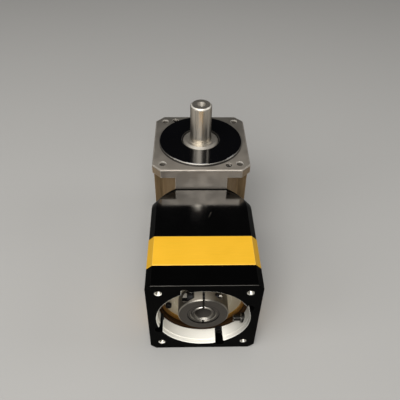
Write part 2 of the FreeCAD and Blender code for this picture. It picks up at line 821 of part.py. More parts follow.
def taper_bearing(name, seat, outer, width, start, direction, input_line=False):
    """Tapered roller bearing: cup, cone and rollers whose surfaces share one apex on the axis.

    The rollers' large ends point along the axis for direction 1 and against it for -1.
    """
    middle = f"({start} + {width} / 2)"
    pitch = f"(({seat} + {outer}) / 2)"
    roller = f"(roller_share * ({outer} - {seat}))"
    tilt = "(taper * 1 deg)"
    apex = f"({pitch} / tan({tilt}))"
    spread = f"asin({roller} * sin({tilt}) / {pitch})"
    length = f"(roller_length * {width})"
    rib = f"({length} / 2 * cos({tilt}) + rib_share * {width})"

    def level(along):
        return f"{middle} + {direction} * ({along})"

    def race(along, sign):
        return f"(({along}) + {apex}) * tan({tilt} + {sign} * {spread})"

    low, high = f"-{width} / 2", f"{width} / 2"
    bore = f"{seat} + seat_gap"
    turned(f"{name}_inner", [
        (bore, level(low)), (race(low, -1), level(low)), (race(rib, -1), level(rib)),
        (pitch, level(rib)), (pitch, level(high)), (bore, level(high)),
    ], input_line)
    turned(f"{name}_outer", [
        (race(low, 1), level(low)), (f"{outer}", level(low)), (f"{outer}", level(high)),
        (race(high, 1), level(high)),
    ], input_line)
    sizes = [value(size) for size in (middle, pitch, roller, length)]
    roller_set(f"{name}_rollers", direction, input_line, *sizes)


def roller_set(name, direction, input_line, middle, pitch, radius, length):
    """Rollers spread round a tapered bearing, each a cone with its tip on the bearing's apex."""
    tilt = math.radians(value("taper"))
    near = pitch / math.sin(tilt) - length / 2
    spread = math.tan(math.asin(radius * math.sin(tilt) / pitch))
    flip = FreeCAD.Rotation(FreeCAD.Vector(1, 0, 0), 0 if direction > 0 else 180)
    apex = FreeCAD.Vector(0, 0, middle - direction * pitch / math.tan(tilt))
    lie = FreeCAD.Rotation(FreeCAD.Vector(1, 0, 0), 90 if input_line else 0)
    origin = FreeCAD.Vector(0, 0, -value("axis_drop") if input_line else 0)
    rollers = []
    for index in range(ROLLERS):
        turn = FreeCAD.Rotation(FreeCAD.Vector(0, 0, 1), 360 * index / ROLLERS)
        lean = flip * turn * FreeCAD.Rotation(FreeCAD.Vector(0, 1, 0), math.degrees(tilt))
        base = apex + lean.multVec(FreeCAD.Vector(0, 0, near))
        cone = doc.addObject("Part::Cone", "Roller")
        cone.Radius1 = near * spread - value("race_gap")
        cone.Radius2 = (near + length) * spread - value("race_gap")
        cone.Height = length
        cone.Placement = FreeCAD.Placement(origin + lie.multVec(base), lie * lean)
        rollers.append(cone)
    group(name, rollers)


def make_output_bearings():
    """Two opposed bearings on the output shaft."""
    for place, start, direction in (("upper", UPPER_END, 1), ("lower", LOWER_END, -1)):
        sizes = (f"{place}_seat_radius", f"{place}_bearing_radius", f"{place}_bearing_width")
        taper_bearing(f"{place}_bearing", *sizes, start, direction)


def make_bottom_cover():
    """Plate under the housing with a register and the lower bearing's boss."""
    body = new_body()
    sketch = new_sketch(body, height=BASE)
    circles(sketch, [("0", "0")], "body_radius")
    pad(body, sketch, "bottom_plate")
    for wide, deep in (("flange_side", "lug_width"), ("lug_width", "flange_side")):
        sketch = new_sketch(body, height=BASE)
        polygon(sketch, rectangle(wide, deep))
        pad(body, sketch, "bottom_plate")
    bearing = "lower_bearing_radius + seat_gap"
    boss = "lower_bearing_radius + boss_wall"
    register = "cavity_radius - seat_gap"
    register_top = f"{PLATE_TOP} + bottom_register"
    spun(body, [
        (bearing, LOWER_END), (bearing, f"{LOWER_TOP} - axial_gap"), (boss, f"{LOWER_TOP} - axial_gap"),
        (boss, register_top), (register, register_top), (register, PLATE_TOP), ("0", PLATE_TOP),
        ("0", LOWER_END),
    ])
    sketch = new_sketch(body, height=BASE)
    circles(sketch, circle_places("bottom_screw_circle", PLATE_HOLES), "bottom_screw_radius + screw_gap")
    pocket(body, sketch, "bottom_plate", forward=True)
    sketch = new_sketch(body, height=BASE)
    head = "head_share * bottom_screw_radius + screw_gap"
    circles(sketch, circle_places("bottom_screw_circle", PLATE_HOLES), head)
    pocket(body, sketch, "bottom_plate * 2 / 3", forward=True)
    node(body, "bottom_cover")
    down = FreeCAD.Rotation(FreeCAD.Vector(1, 0, 0), 180)
    screws = []
    for x, y in circle_places("bottom_screw_circle", PLATE_HOLES):
        bolt = screw("bottom_screw_radius", "bottom_screw_length", rise="bottom_plate / 2")
        screws.append(stand(bolt, x, y, f"{BASE} + bottom_plate * 2 / 3", down))
    group("bottom_cover_screws", screws)


def make_pinion_housing():
    """Black block: bar with cut corners, its inner end turned to a neck, and a stepped bore."""
    body = new_body(input_line=True)
    sketch = new_sketch(body, height=BLOCK_START)
    polygon(sketch, octagon("block_side", "block_chamfer"))
    pad(body, sketch, "block_length")
    shoulder = f"({BLOCK_START} + neck_length)"
    nose_end = f"({shoulder} + nose_length)"
    bored(body, [
        ("neck_radius", shoulder), ("corner_radius", nose_end), ("block_side", nose_end),
        ("block_side", BLOCK_START), ("neck_radius", BLOCK_START),
    ], rounds={0: "nose_round"})
    sketch = new_sketch(body, height=BLOCK_START)
    circles(sketch, [("0", "0")], "register_radius")
    length = pad(body, sketch, "register_length")
    length.Reversed = True
    doc.recompute()
    bearing = "pinion_bearing_radius + seat_gap"
    groove = f"{bearing} + ring_groove"
    groove_end = f"{STACK_END} + retaining_ring + seat_gap"
    seat = f"{groove_end} + ring_groove"
    mouth = f"{BLOCK_START} - register_length"
    bored(body, [
        ("0", mouth), ("block_bore_radius", mouth), ("block_bore_radius", FRONT_BEARING),
        (bearing, FRONT_BEARING), (bearing, STACK_END), (groove, STACK_END), (groove, groove_end),
        (bearing, groove_end), (bearing, seat), ("cavity_bore_radius", seat),
        ("cavity_bore_radius", RING_GEAR_START), ("ring_gear_radius + seat_gap", RING_GEAR_START),
        ("ring_gear_radius + seat_gap", BLOCK_END), ("0", BLOCK_END),
    ])
    sketch = new_sketch(body, height=BLOCK_END)
    circles(sketch, block_screw_places(), "block_screw_radius + screw_gap")
    pocket(body, sketch, "block_length")
    sketch = new_sketch(body, height=BLOCK_END)
    circles(sketch, block_screw_places(), "head_share * block_screw_radius + screw_gap")
    pocket(body, sketch, "block_length - bearing_inset")
    sketch = new_sketch(body, height=BLOCK_END)
    circles(sketch, circle_places("tie_circle", PLATE_HOLES, "tie_angle"), "tie_radius + seat_gap")
    pocket(body, sketch, "tie_grip")
    node(body, "pinion_housing")
    ring("bearing_retaining_ring", "pinion_bearing_radius - ring_reach", f"{groove} - seat_gap",
         STACK_END, f"{STACK_END} + retaining_ring", input_line=True)
    screws = []
    for x, y in block_screw_places():
        bolt = screw("block_screw_radius", "bearing_inset + block_screw_grip - axial_gap", socket=False)
        screws.append(on_input(bolt, x, y, FRONT_BEARING))
    group("housing_screws", screws)


def make_pinion_shaft():
    """Bevel pinion and its shaft in one piece: a turned blank trimmed by the cone of its teeth."""
    teeth = ("pinion_teeth", "crown_teeth")
    toe_in = pitch_point(*teeth, BEVEL_TOE, "-tooth_trim")
    heel_in = pitch_point(*teeth, BEVEL_REACH, "-tooth_trim")
    shoulder = f"({FRONT_BEARING} - pinion_shoulder_length)"
    hole = "carrier_screw_radius + seat_gap"
    hole_end = f"({RECESS_FLOOR} - carrier_screw_length)"
    blank = new_body(input_line=True)
    spun(blank, [
        ("0", toe_in[1]), toe_in, pitch_point(*teeth, BEVEL_TOE, "tooth_trim"),
        pitch_point(*teeth, BEVEL_REACH, "tooth_trim"), heel_in,
        ("pinion_neck_radius", f"{heel_in[1]} + edge_break"), ("pinion_neck_radius", shoulder),
        ("pinion_shoulder_radius", shoulder), ("pinion_shoulder_radius", FRONT_BEARING),
        ("pinion_seat_radius", FRONT_BEARING), ("pinion_seat_radius", STACK_END),
        ("carrier_bore_radius", STACK_END), ("carrier_bore_radius", PINION_SHAFT_END),
        (hole, PINION_SHAFT_END), (hole, hole_end), ("0", hole_end),
    ])
    towards_crown = math.pi / 2
    reach = value(f"{PINION_SHAFT_END} + axial_gap")
    cone = shaped(bevel_teeth(round(value("pinion_teeth")), value("crown_teeth"), towards_crown, reach))
    shaft = common(blank, on_input(cone))
    # The key lies between two planets, away from their pins
    key = ("carrier_bore_radius", "carrier_key_width", "carrier_key_height", STACK_END, PINION_SHAFT_END, -1)
    slot, place = key_slot(*key)
    on_input(slot, *place)
    node(cut(shaft, slot), "pinion_shaft")
    piece, place = key_piece(*key)
    node(on_input(piece, *place), "carrier_key")
    return slot


def make_pinion_bearings():
    """Two opposed bearings on the pinion shaft, with the spacers between them."""
    sizes = ("pinion_seat_radius", "pinion_bearing_radius", "pinion_bearing_width")
    taper_bearing("front_bearing", *sizes, FRONT_BEARING, 1, input_line=True)
    taper_bearing("rear_bearing", *sizes, REAR_BEARING, -1, input_line=True)
    ring("inner_spacer", "pinion_seat_radius + seat_gap", "pinion_shoulder_radius",
         FRONT_BEARING_END, REAR_BEARING, input_line=True)
    ring("outer_spacer", "pinion_bearing_radius - ring_reach", "pinion_bearing_radius",
         FRONT_BEARING_END, REAR_BEARING, input_line=True)


def make_carrier(slot):
    """Planet carrier on the pinion shaft: hub, plate and three pillars, with its front plate."""
    body = new_body(input_line=True)
    bore = "carrier_bore_radius + seat_gap"
    spun(body, [
        (bore, STACK_END), ("carrier_hub_radius", STACK_END), ("carrier_hub_radius", CARRIER_BACK),
        ("carrier_radius", CARRIER_BACK), ("carrier_radius", CARRIER_FACE),
        ("carrier_recess_radius", CARRIER_FACE), ("carrier_recess_radius", RECESS_FLOOR),
        (bore, RECESS_FLOOR),
    ])
    pins = circle_places(PLANET_CIRCLE, PLANETS, "90")
    pillars = circle_places("pillar_circle", PLANETS, "30")
    sketch = new_sketch(body, height=CARRIER_FACE)
    circles(sketch, pillars, "pillar_radius")
    pad(body, sketch, f"{PLATE_START} - {CARRIER_FACE}")
    sketch = new_sketch(body, height=CARRIER_FACE)
    circles(sketch, pins, "pin_radius + seat_gap")
    pocket(body, sketch, "carrier_thick")
    sketch = new_sketch(body, height=PLATE_START)
    circles(sketch, pillars, "plate_screw_radius + seat_gap")
    pocket(body, sketch, "plate_screw_length")
    node(cut(body, slot), "planet_carrier")

    plate = new_body(input_line=True)
    sketch = new_sketch(plate, height=PLATE_START)
    circles(sketch, [("0", "0")], "front_plate_radius")
    circles(sketch, [("0", "0")], "front_plate_hole")
    circles(sketch, pins, "pin_radius + seat_gap")
    circles(sketch, pillars, "plate_screw_radius + seat_gap")
    pad(plate, sketch, "front_plate")
    sketch = new_sketch(plate, height=PLATE_END)
    circles(sketch, pillars, "head_share * plate_screw_radius + screw_gap")
    pocket(plate, sketch, "plate_screw_head")
    node(plate, "carrier_front_plate")

    length = f"{PLATE_END} - {CARRIER_BACK}"
    group("planet_pins", [on_input(cylinder("pin_radius", length), x, y, CARRIER_BACK) for x, y in pins])
    bolts = []
    for x, y in pillars:
        bolt = screw("plate_screw_radius", "plate_screw_length", socket=False, rise="plate_screw_head")
        bolts.append(on_input(bolt, x, y, f"{PLATE_END} - plate_screw_head"))
    group("carrier_plate_screws", bolts)
    ring("carrier_washer", "carrier_screw_radius + screw_gap", "carrier_washer_radius",
         RECESS_FLOOR, f"{RECESS_FLOOR} + carrier_washer", input_line=True)
    rise = "carrier_recess - carrier_washer - plate_gap / 2"
    bolt = screw("carrier_screw_radius", "carrier_screw_length", rise=rise)
    node(on_input(bolt, height=f"{RECESS_FLOOR} + carrier_washer"), "carrier_screw")


def make_planets():
    """Three planet gears, each with a space facing the sun and the ring, on plain bushes."""
    teeth = round(value("planet_teeth"))
    half_pitch = math.pi / teeth
    width = f"{PLANET_END} - {PLANET_START}"
    for index, (x, y) in enumerate(circle_places(PLANET_CIRCLE, PLANETS, "90")):
        angle = math.pi / 2 + 2 * math.pi * index / PLANETS
        prism = shaped(raised(face_of(outer_teeth(teeth, angle + half_pitch)), PLANET_START, PLANET_END))
        bore = cylinder("bush_radius", width)
        gear = cut(on_input(prism, x, y), on_input(bore, x, y, PLANET_START))
        node(gear, f"planet_gear_{index + 1}")
        sleeve = cylinder("bush_radius - seat_gap", width)
        hole = cylinder("pin_radius + running_gap", width)
        bush = cut(on_input(sleeve, x, y, PLANET_START), on_input(hole, x, y, PLANET_START))
        node(bush, f"planet_bush_{index + 1}")


def make_ring_gear():
    """Ring gear with inner teeth, pressed into the gold band and centring the black block."""
    teeth = round(value("sun_teeth + 2 * planet_teeth"))
    half_pitch = math.pi / teeth
    rim = cylinder("ring_gear_radius", f"{RING_GEAR_END} - {RING_GEAR_START}")
    spaces = shaped(raised(face_of(inner_teeth(teeth, half_pitch)), RING_GEAR_START, RING_GEAR_END))
    node(cut(on_input(rim, height=RING_GEAR_START), on_input(spaces)), "ring_gear")


def make_ring_housing():
    """Gold square band with the ring gear's bore, the input cover's seat and a spigot."""
    body = new_body(input_line=True)
    sketch = new_sketch(body, height=BLOCK_END)
    polygon(sketch, octagon("frame_side", "ring_chamfer"))
    pad(body, sketch, "ring_length")
    dressed(body, "Chamfer", "fine_chamfer", lambda edge: edge.BoundBox.ZLength < TOUCH)
    sketch = new_sketch(body, height=RING_END)
    circles(sketch, [("0", "0")], "spigot_radius - seat_gap")
    pad(body, sketch, "spigot_height")
    gear, cover, top = "ring_gear_radius + seat_gap", "input_cover_radius", f"{RING_END} + spigot_height"
    bored(body, [
        ("0", BLOCK_END), (gear, BLOCK_END), (gear, RING_GEAR_END), ("web_radius", RING_GEAR_END),
        ("web_radius", COVER_SEAT), (cover, COVER_SEAT), (cover, top), ("0", top),
    ])
    sketch = new_sketch(body, height=RING_END)
    circles(sketch, circle_places("tie_circle", PLATE_HOLES, "tie_angle"), "tie_radius + screw_gap")
    pocket(body, sketch, "ring_length")
    sketch = new_sketch(body, height=COVER_SEAT)
    circles(sketch, cover_screw_places(), "cover_screw_radius + seat_gap")
    pocket(body, sketch, "cover_screw_length - input_cover_flange + axial_gap")
    node(body, "ring_housing")


def cover_screw_places():
    """Places of the screws that hold the input cover."""
    return circle_places("cover_screw_circle", PLATE_HOLES, "cover_screw_angle")


def make_input_cover():
    """Bare plate in the gold band that holds the input bearing, with its screws."""
    body = new_body(input_line=True)
    bearing = "input_bearing_radius + seat_gap"
    outer = "input_cover_radius - seat_gap"
    lip = f"{COVER_FACE} + input_cover_lip"
    spun(body, [
        (bearing, INPUT_BEARING), ("input_cover_boss", INPUT_BEARING), ("input_cover_boss", COVER_SEAT),
        (outer, COVER_SEAT), (outer, COVER_FACE), ("input_cover_boss", COVER_FACE),
        ("input_cover_boss", lip), ("input_cover_lip_radius", lip),
        ("input_cover_lip_radius", INPUT_BEARING_END), (bearing, INPUT_BEARING_END),
    ])
    sketch = new_sketch(body, height=COVER_FACE)
    circles(sketch, cover_screw_places(), "cover_screw_radius + screw_gap")
    pocket(body, sketch, "input_cover_flange")
    node(body, "input_cover")
    screws = []
    for x, y in cover_screw_places():
        screws.append(on_input(screw("cover_screw_radius", "cover_screw_length"), x, y, COVER_FACE))
    group("input_cover_screws", screws)


def make_input_bearing():
    """Sealed ball bearing on the input shaft."""
    pitch = "((input_seat_radius + input_bearing_radius) / 2)"
    middle = f"({INPUT_BEARING} + input_bearing_width / 2)"
    race = bind(doc.addObject("Part::Torus", "Race"), Radius1=pitch, Radius2="input_ball_radius + race_gap")
    on_input(race, height=middle)
    inner_land = f"{pitch} - land_share * input_ball_radius"
    outer_land = f"{pitch} + land_share * input_ball_radius"
    for name, bore, rim in (
        ("input_bearing_inner", "input_seat_radius + seat_gap", inner_land),
        ("input_bearing_outer", outer_land, "input_bearing_radius"),
    ):
        blank = on_input(cylinder(rim, "input_bearing_width"), height=INPUT_BEARING)
        hole = on_input(cylinder(bore, "input_bearing_width"), height=INPUT_BEARING)
        node(cut(blank, hole, race), name)
    balls = []
    for x, y in circle_places(f"2 * {pitch}", INPUT_BALLS):
        ball = bind(doc.addObject("Part::Sphere", "Ball"), Radius="input_ball_radius")
        balls.append(on_input(ball, x, y, middle))
    group("input_bearing_balls", balls)
    thick = "shield_thick"
    seals = []
    for start in (f"{INPUT_BEARING}", f"{INPUT_BEARING_END} - {thick}"):
        blank = on_input(cylinder(f"{outer_land} - seat_gap", thick), height=start)
        hole = on_input(cylinder(f"{inner_land} + race_gap", thick), height=start)
        seals.append(cut(blank, hole))
    group("input_bearing_seals", seals)


def upper_slit(reach):
    """The corners of a slit from the axis upwards."""
    return [(f"{x} * slit / 2", y) for x, y in ((1, "0"), (1, reach), (-1, reach), (-1, "0"))]


def make_input_shaft():
    """Sun gear, bearing seat and slit clamping sleeve in one piece."""
    body = new_body(input_line=True)
    bore = "sleeve_bore_radius + seat_gap"
    neck = f"({PLATE_END} + plate_gap / 2)"
    sleeve = f"({HUB_BACK} - axial_gap)"
    spun(body, [
        ("0", PLATE_START), ("sun_neck_radius", PLATE_START), ("sun_neck_radius", neck),
        ("input_seat_radius", neck), ("input_seat_radius", INPUT_BEARING_END),
        ("sleeve_shoulder_radius", INPUT_BEARING_END),
        ("sleeve_shoulder_radius", sleeve), ("sleeve_radius", sleeve), ("sleeve_radius", SLEEVE_END),
        (f"{bore} + edge_break", SLEEVE_END), (bore, f"{SLEEVE_END} - edge_break"), (bore, SHAFT_BORE_END),
        ("0", SHAFT_BORE_END),
    ])
    sketch = new_sketch(body, height=SLEEVE_END)
    polygon(sketch, rectangle("slit", "2 * sleeve_shoulder_radius"))
    pocket(body, sketch, f"{SLEEVE_END} - {HUB_BACK}")
    teeth = face_of(outer_teeth(round(value("sun_teeth")), math.pi / 2))
    sun = shaped(raised(teeth, PLANET_START, PLATE_START))
    node(fused(body, on_input(sun)), "input_shaft")

    bush = new_body(input_line=True)
    end = f"{SLEEVE_END} - axial_gap"
    start = f"{SHAFT_BORE_END} + axial_gap"
    spun(bush, [
        ("motor_shaft_radius", start), ("sleeve_bore_radius", start), ("sleeve_bore_radius", end),
        ("motor_shaft_radius + edge_break", end), ("motor_shaft_radius", f"{end} - edge_break"),
    ])
    sketch = new_sketch(bush, height=end)
    polygon(sketch, upper_slit("hub_radius"))
    pocket(bush, sketch, f"({end}) - ({start})")
    node(bush, "shaft_bushing")


def make_clamp_collar():
    """Slit collar round the sleeve, with its cross screw."""
    body = new_body(input_line=True)
    bore, rim = "sleeve_radius + seat_gap", "hub_radius"
    spun(body, [
        (bore, HUB_BACK), (rim, HUB_BACK), (rim, f"{HUB_FACE} - edge_break"),
        (f"{rim} - edge_break", HUB_FACE), (bore, HUB_FACE),
    ])
    sketch = new_sketch(body, height=HUB_FACE)
    polygon(sketch, upper_slit(rim))
    pocket(body, sketch, f"{HUB_FACE} - {HUB_BACK}")
    across = [("clamp_screw_offset", HUB_MIDDLE)]
    sketch = new_sketch(body, "YZ_Plane", rim)
    circles(sketch, across, "clamp_screw_radius + seat_gap")
    pocket(body, sketch, f"2 * {rim}")
    sketch = new_sketch(body, "YZ_Plane", f"-{rim}")
    circles(sketch, across, "head_share * clamp_screw_radius + screw_gap")
    pocket(body, sketch, f"{rim} - clamp_head_seat", forward=True)
    node(body, "clamp_collar")
    towards_left = FreeCAD.Rotation(FreeCAD.Vector(0, 1, 0), -90)
    bolt = screw("clamp_screw_radius", "clamp_screw_length")
    node(on_input(bolt, "-clamp_head_seat", "clamp_screw_offset", HUB_MIDDLE, towards_left), "clamp_screw")


def make_motor_adapter():
    """Black motor plate: bored opening, tapped motor holes, screw counterbores and side holes."""
    body = new_body(input_line=True)
    sketch = new_sketch(body, height=RING_END)
    polygon(sketch, octagon("frame_side", "adapter_chamfer"))
    pad(body, sketch, "adapter_length")
    dressed(body, "Chamfer", "fine_chamfer", lambda edge: edge.BoundBox.ZLength < TOUCH)
    pilot = f"{ADAPTER_END} - pilot_bore_depth"
    recess, lip = f"({RING_END} + spigot_height + axial_gap)", "spigot_radius - spigot_lip"
    bored(body, [
        ("0", RING_END), ("spigot_radius", RING_END), ("spigot_radius", recess), (lip, recess),
        (lip, OPENING_START), ("opening_radius", OPENING_START), ("opening_radius", pilot),
        ("pilot_bore_radius", pilot),
        ("pilot_bore_radius", f"{ADAPTER_END} - fine_chamfer"),
        ("pilot_bore_radius + fine_chamfer", ADAPTER_END), ("0", ADAPTER_END),
    ])
    face, radius = value(ADAPTER_END), value("motor_hole_radius")

    def hole_mouth(edge):
        flat = edge.BoundBox.ZLength < TOUCH and abs(edge.BoundBox.ZMin - face) < TOUCH
        return flat and hasattr(edge.Curve, "Radius") and abs(edge.Curve.Radius - radius) < TOUCH

    sketch = new_sketch(body, height=ADAPTER_END)
    circles(sketch, circle_places("motor_circle", PLATE_HOLES, "45"), "motor_hole_radius")
    pocket(body, sketch, "motor_hole_depth")
    dressed(body, "Chamfer", "hole_chamfer", hole_mouth)
    ties = circle_places("tie_circle", PLATE_HOLES, "tie_angle")
    sketch = new_sketch(body, height=ADAPTER_END)
    circles(sketch, ties, "tie_radius + screw_gap")
    pocket(body, sketch, "adapter_length")
    sketch = new_sketch(body, height=ADAPTER_END)
    circles(sketch, ties, "tie_counterbore")
    pocket(body, sketch, "opening_depth")
    for side in (1, -1):
        sketch = new_sketch(body, "YZ_Plane", f"{side} * frame_side / 2")
        circles(sketch, [(f"{-side} * clamp_screw_offset", HUB_MIDDLE)], "access_radius")
        pocket(body, sketch, "frame_side / 2 - plug_tip", forward=side < 0)
    node(body, "motor_adapter")
    shank = f"{OPENING_START} - {BLOCK_END} + tie_grip - axial_gap"
    bolts = [on_input(screw("tie_radius", shank), x, y, OPENING_START) for x, y in ties]
    group("tie_screws", bolts)


def make_access_plugs():
    """Two plugs in the side holes, each with a stem that reaches into the opening."""
    plugs = []
    for side in (1, -1):
        stem = cylinder("plug_stem_radius", "plug_head - plug_tip")
        head = stand(cylinder("access_radius - seat_gap", "frame_side / 2 - plug_inset - plug_head"),
                     z="plug_head - plug_tip")
        outwards = FreeCAD.Rotation(FreeCAD.Vector(0, 1, 0), 90 * side)
        plug = fused(stem, head)
        place = (f"{side} * plug_tip", f"{-side} * clamp_screw_offset", HUB_MIDDLE)
        plugs.append(on_input(plug, *place, outwards))
    group("access_plugs", plugs)


def check_and_write():
    """Stops on a failed object or a bad solid, then writes every sub-part."""
    doc.recompute()
    for thing in doc.Objects:
        if "Invalid" in thing.State or "Error" in thing.State:
            raise RuntimeError(f"{thing.Label} failed")
    os.makedirs("parts", exist_ok=True)
    for piece in nodes:
        if piece.Shape.isNull() or not piece.Shape.isValid() or not piece.Shape.Solids:
            raise RuntimeError(f"{piece.Label} has no sound solid")
    for piece in nodes:
        piece.Shape.exportStep(f"parts/{piece.Label}.step")


def main():
    """Builds every sub-part, from the output flange to the motor plate."""
    fill_sheet()
    make_output_housing()
    make_jack_screws()
    make_output_cover()
    gear_slot = make_output_shaft()
    make_crown_gear(gear_slot)
    make_output_bearings()
    make_bottom_cover()
    make_pinion_housing()
    carrier_slot = make_pinion_shaft()
    make_pinion_bearings()
    make_carrier(carrier_slot)
    make_planets()
    make_ring_gear()
    make_ring_housing()
    make_input_cover()
    make_input_bearing()
    make_input_shaft()
    make_clamp_collar()
    make_motor_adapter()
    make_access_plugs()
    check_and_write()


main()
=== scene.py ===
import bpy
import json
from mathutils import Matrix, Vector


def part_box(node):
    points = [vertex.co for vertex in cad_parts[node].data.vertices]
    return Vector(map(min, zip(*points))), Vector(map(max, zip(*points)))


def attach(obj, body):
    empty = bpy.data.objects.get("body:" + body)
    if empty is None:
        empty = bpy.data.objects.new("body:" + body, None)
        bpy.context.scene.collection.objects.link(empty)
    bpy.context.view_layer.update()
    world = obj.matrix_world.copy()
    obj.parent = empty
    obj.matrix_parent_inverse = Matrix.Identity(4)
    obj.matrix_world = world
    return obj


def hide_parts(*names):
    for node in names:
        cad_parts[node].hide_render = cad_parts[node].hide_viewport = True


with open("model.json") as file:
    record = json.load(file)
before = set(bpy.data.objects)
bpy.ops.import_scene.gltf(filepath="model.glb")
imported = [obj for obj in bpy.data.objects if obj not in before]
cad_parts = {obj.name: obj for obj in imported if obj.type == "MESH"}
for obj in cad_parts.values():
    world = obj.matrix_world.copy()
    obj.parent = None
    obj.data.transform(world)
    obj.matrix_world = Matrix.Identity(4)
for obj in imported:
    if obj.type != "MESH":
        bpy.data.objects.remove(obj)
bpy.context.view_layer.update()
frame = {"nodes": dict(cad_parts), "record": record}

import collections
import functools
import json
import math

import bmesh
import bpy
import mathutils
import numpy as np

bl_info = {
    "name": "Right-angle planetary reducer",
    "version": (1, 0, 0),
    "blender": (4, 5, 0),
    "location": "View3D > Sidebar > Reducer",
    "description": "Dresses the packed reducer with tints, screws, threads and a studio stage",
    "category": "Object",
}

MM = 0.001
TURN = 2 * math.pi
MOUNTS = {mount["name"]: mount for mount in frame["record"]["mounts"]}
AXIS_Z = MOUNTS["motor_bolts"]["pos_m"][2]
MOTOR_FACE = MOUNTS["motor_face"]["pos_m"][1]
FLOOR_Z = MOUNTS["base"]["pos_m"][2]
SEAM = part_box("output_housing")[0].y

# A frame on the input line: X stays, Y points up and Z points towards the motor
INPUT_LINE = np.array([[1, 0, 0], [0, 0, -1], [0, 1, 0]], float)
UPRIGHT = np.eye(3)
UPSIDE_DOWN = np.diag([1.0, -1.0, -1.0])
TOWARDS_LEFT = np.array([[0, 0, -1], [0, 1, 0], [1, 0, 0]], float)
UP = (0.0, 0.0, 1.0)
TO_MOTOR = (0.0, -1.0, 0.0)


def span(start, end):
    """Two places in mm, in metres."""
    return start * MM, end * MM


# Noise seldom leaves this range, so it is stretched from here
NOISE = (0.3, 0.7)
# Cosine past which a face counts as facing one way
FACING = 0.9
# Cosines between a rounded normal and the true one, on a sharp edge and on a flat face
EDGE_LEAN = (0.93, 0.998)

# Motor plate: radii of its bare bore and of its holes' bare mouths, the bore's depth, where painted shade
# darkens the bore's right side, and how far below the top the painted highlight on its front edge reaches
BARE_BORE, BARE_MOUTH, BARE_DEPTH = 38.5 * MM, 2.85 * MM, 13.3 * MM
BORE_SHADE, SHINE_DEPTH = span(18, 39), 0.2 * MM
# Centring disc: where its bare rim starts, from its axis and from the flange, and its hole's bare lip
RIM_RADIUS, RIM_HEIGHT, RIM_HOLE = 39.4 * MM, 2.1 * MM, 18.4 * MM
# Output shaft: radii of its centre hole and of the step to its collar, the height of the painted highlight
# on its end chamfer, and the skin that counts as its end
CENTRE_HOLE, COLLAR, CHAMFER_SHINE, END_SKIN = 6.0 * MM, 10.5 * MM, 0.95 * MM, 0.05 * MM
# Input clamp: radii that part the bush, the sleeve and the collar's wall, and half a joint's width
BUSH_OUTSIDE, SLEEVE_OUTSIDE, CLAMP_WALL, HALF_JOINT = 10.0 * MM, 13.0 * MM, 20.2 * MM, 0.3 * MM
# The bush's rounded nose: its crest's radius, half its width, and where its painted highlight fades out
# across it
NOSE_CREST, HALF_NOSE, NOSE_SHINE = 8.6 * MM, 1.15 * MM, span(4, 7)
# Where painted shade darkens the collar's wall to the right and to the left, and the clamp screw's seat,
# which is painted dark: its side and its radius
WALL_RIGHT_SHADE, WALL_SHADE, SEAT_SIDE, HEAD_SEAT = span(-2, 10), span(-8, -15), span(-7, -8), 4.9 * MM
# Steel housing: a little less than half the lugs' width, the flange's thickness, the front face's skin,
# the shadow below the front chamfer and half its height, and the lit depth of the bolt holes
HALF_LUG, FLANGE, FRONT_SKIN = 23.7 * MM, 8.6 * MM, 0.3 * MM
EDGE_SHADOW, HALF_SHADOW, HOLE_LIP = 1.15 * MM, 0.35 * MM, 1.5 * MM
# Where the painted shade deepens across the flange's top along Y, and across the front face along X
TOP_SHADE, FRONT_SHADE = span(-45, 40), span(-40, 40)
# Gear block: the length of its dull neck, and where its top loses its polish
NECK, POLISH_FADE = 2.4 * MM, (SEAM - 20.5 * MM, SEAM - 26.5 * MM)
# A scratch on the block: its middle, its turn, and half its length and width
SCRATCH_PLACE, SCRATCH_TURN = (6.96 * MM, -79.23 * MM, 0.0), math.radians(68.6)
SCRATCH_HALF = (3.5 * MM, 0.055 * MM)
# Gold band: the radius inside which its faces are inner ones, and over what length from the front the
# painted shade on them lightens
BAND_INSIDE, BAND_SHADE = 42 * MM, 5 * MM
# Circles of screws: diameter in mm, count and first angle in degrees
TIE_CIRCLE, COVER_CIRCLE, BOTTOM_CIRCLE = (79, 4, 22.5), (60.5, 4, 15), (79, 4, 0)
JACK_CIRCLE = (90, 2, -56)
# Camera: pitch down, yaw and roll in degrees, its place, and its sensor's width in mm
CAMERA_TURN, CAMERA_PLACE, SENSOR = (42.64, 2.17, 1.30), (-12.33, -347.47, 242.62), 36
# Floor: half its side in metres, and the gap that keeps it off the part's underside
HALF_FLOOR, FLOOR_GAP = 6.0, 0.05 * MM


def linear(code):
    """The linear colour of an sRGB hex value, with full alpha."""
    channels = [int(code[i:i + 2], 16) / 255 for i in (1, 3, 5)]
    return tuple(c / 12.92 if c <= 0.04045 else ((c + 0.055) / 1.055) ** 2.4 for c in channels) + (1.0,)


def tint(name, code, description):
    """A colour that a user may change, with its default as an sRGB hex value."""
    return bpy.props.FloatVectorProperty(
        name=name, description=description, subtype="COLOR", size=4, min=0, max=1, default=linear(code)
    )


def length_setting(name, size_mm, description):
    """A length that a user may change, with its default in millimetres."""
    return bpy.props.FloatProperty(name=name, description=description, unit="LENGTH", default=size_mm * MM)


def power_setting(name, watts, place):
    """A lamp's power that a user may change, with its default in watts."""
    description = f"Power of the lamp {place}"
    return bpy.props.FloatProperty(name=name, description=description, unit="POWER", default=watts)


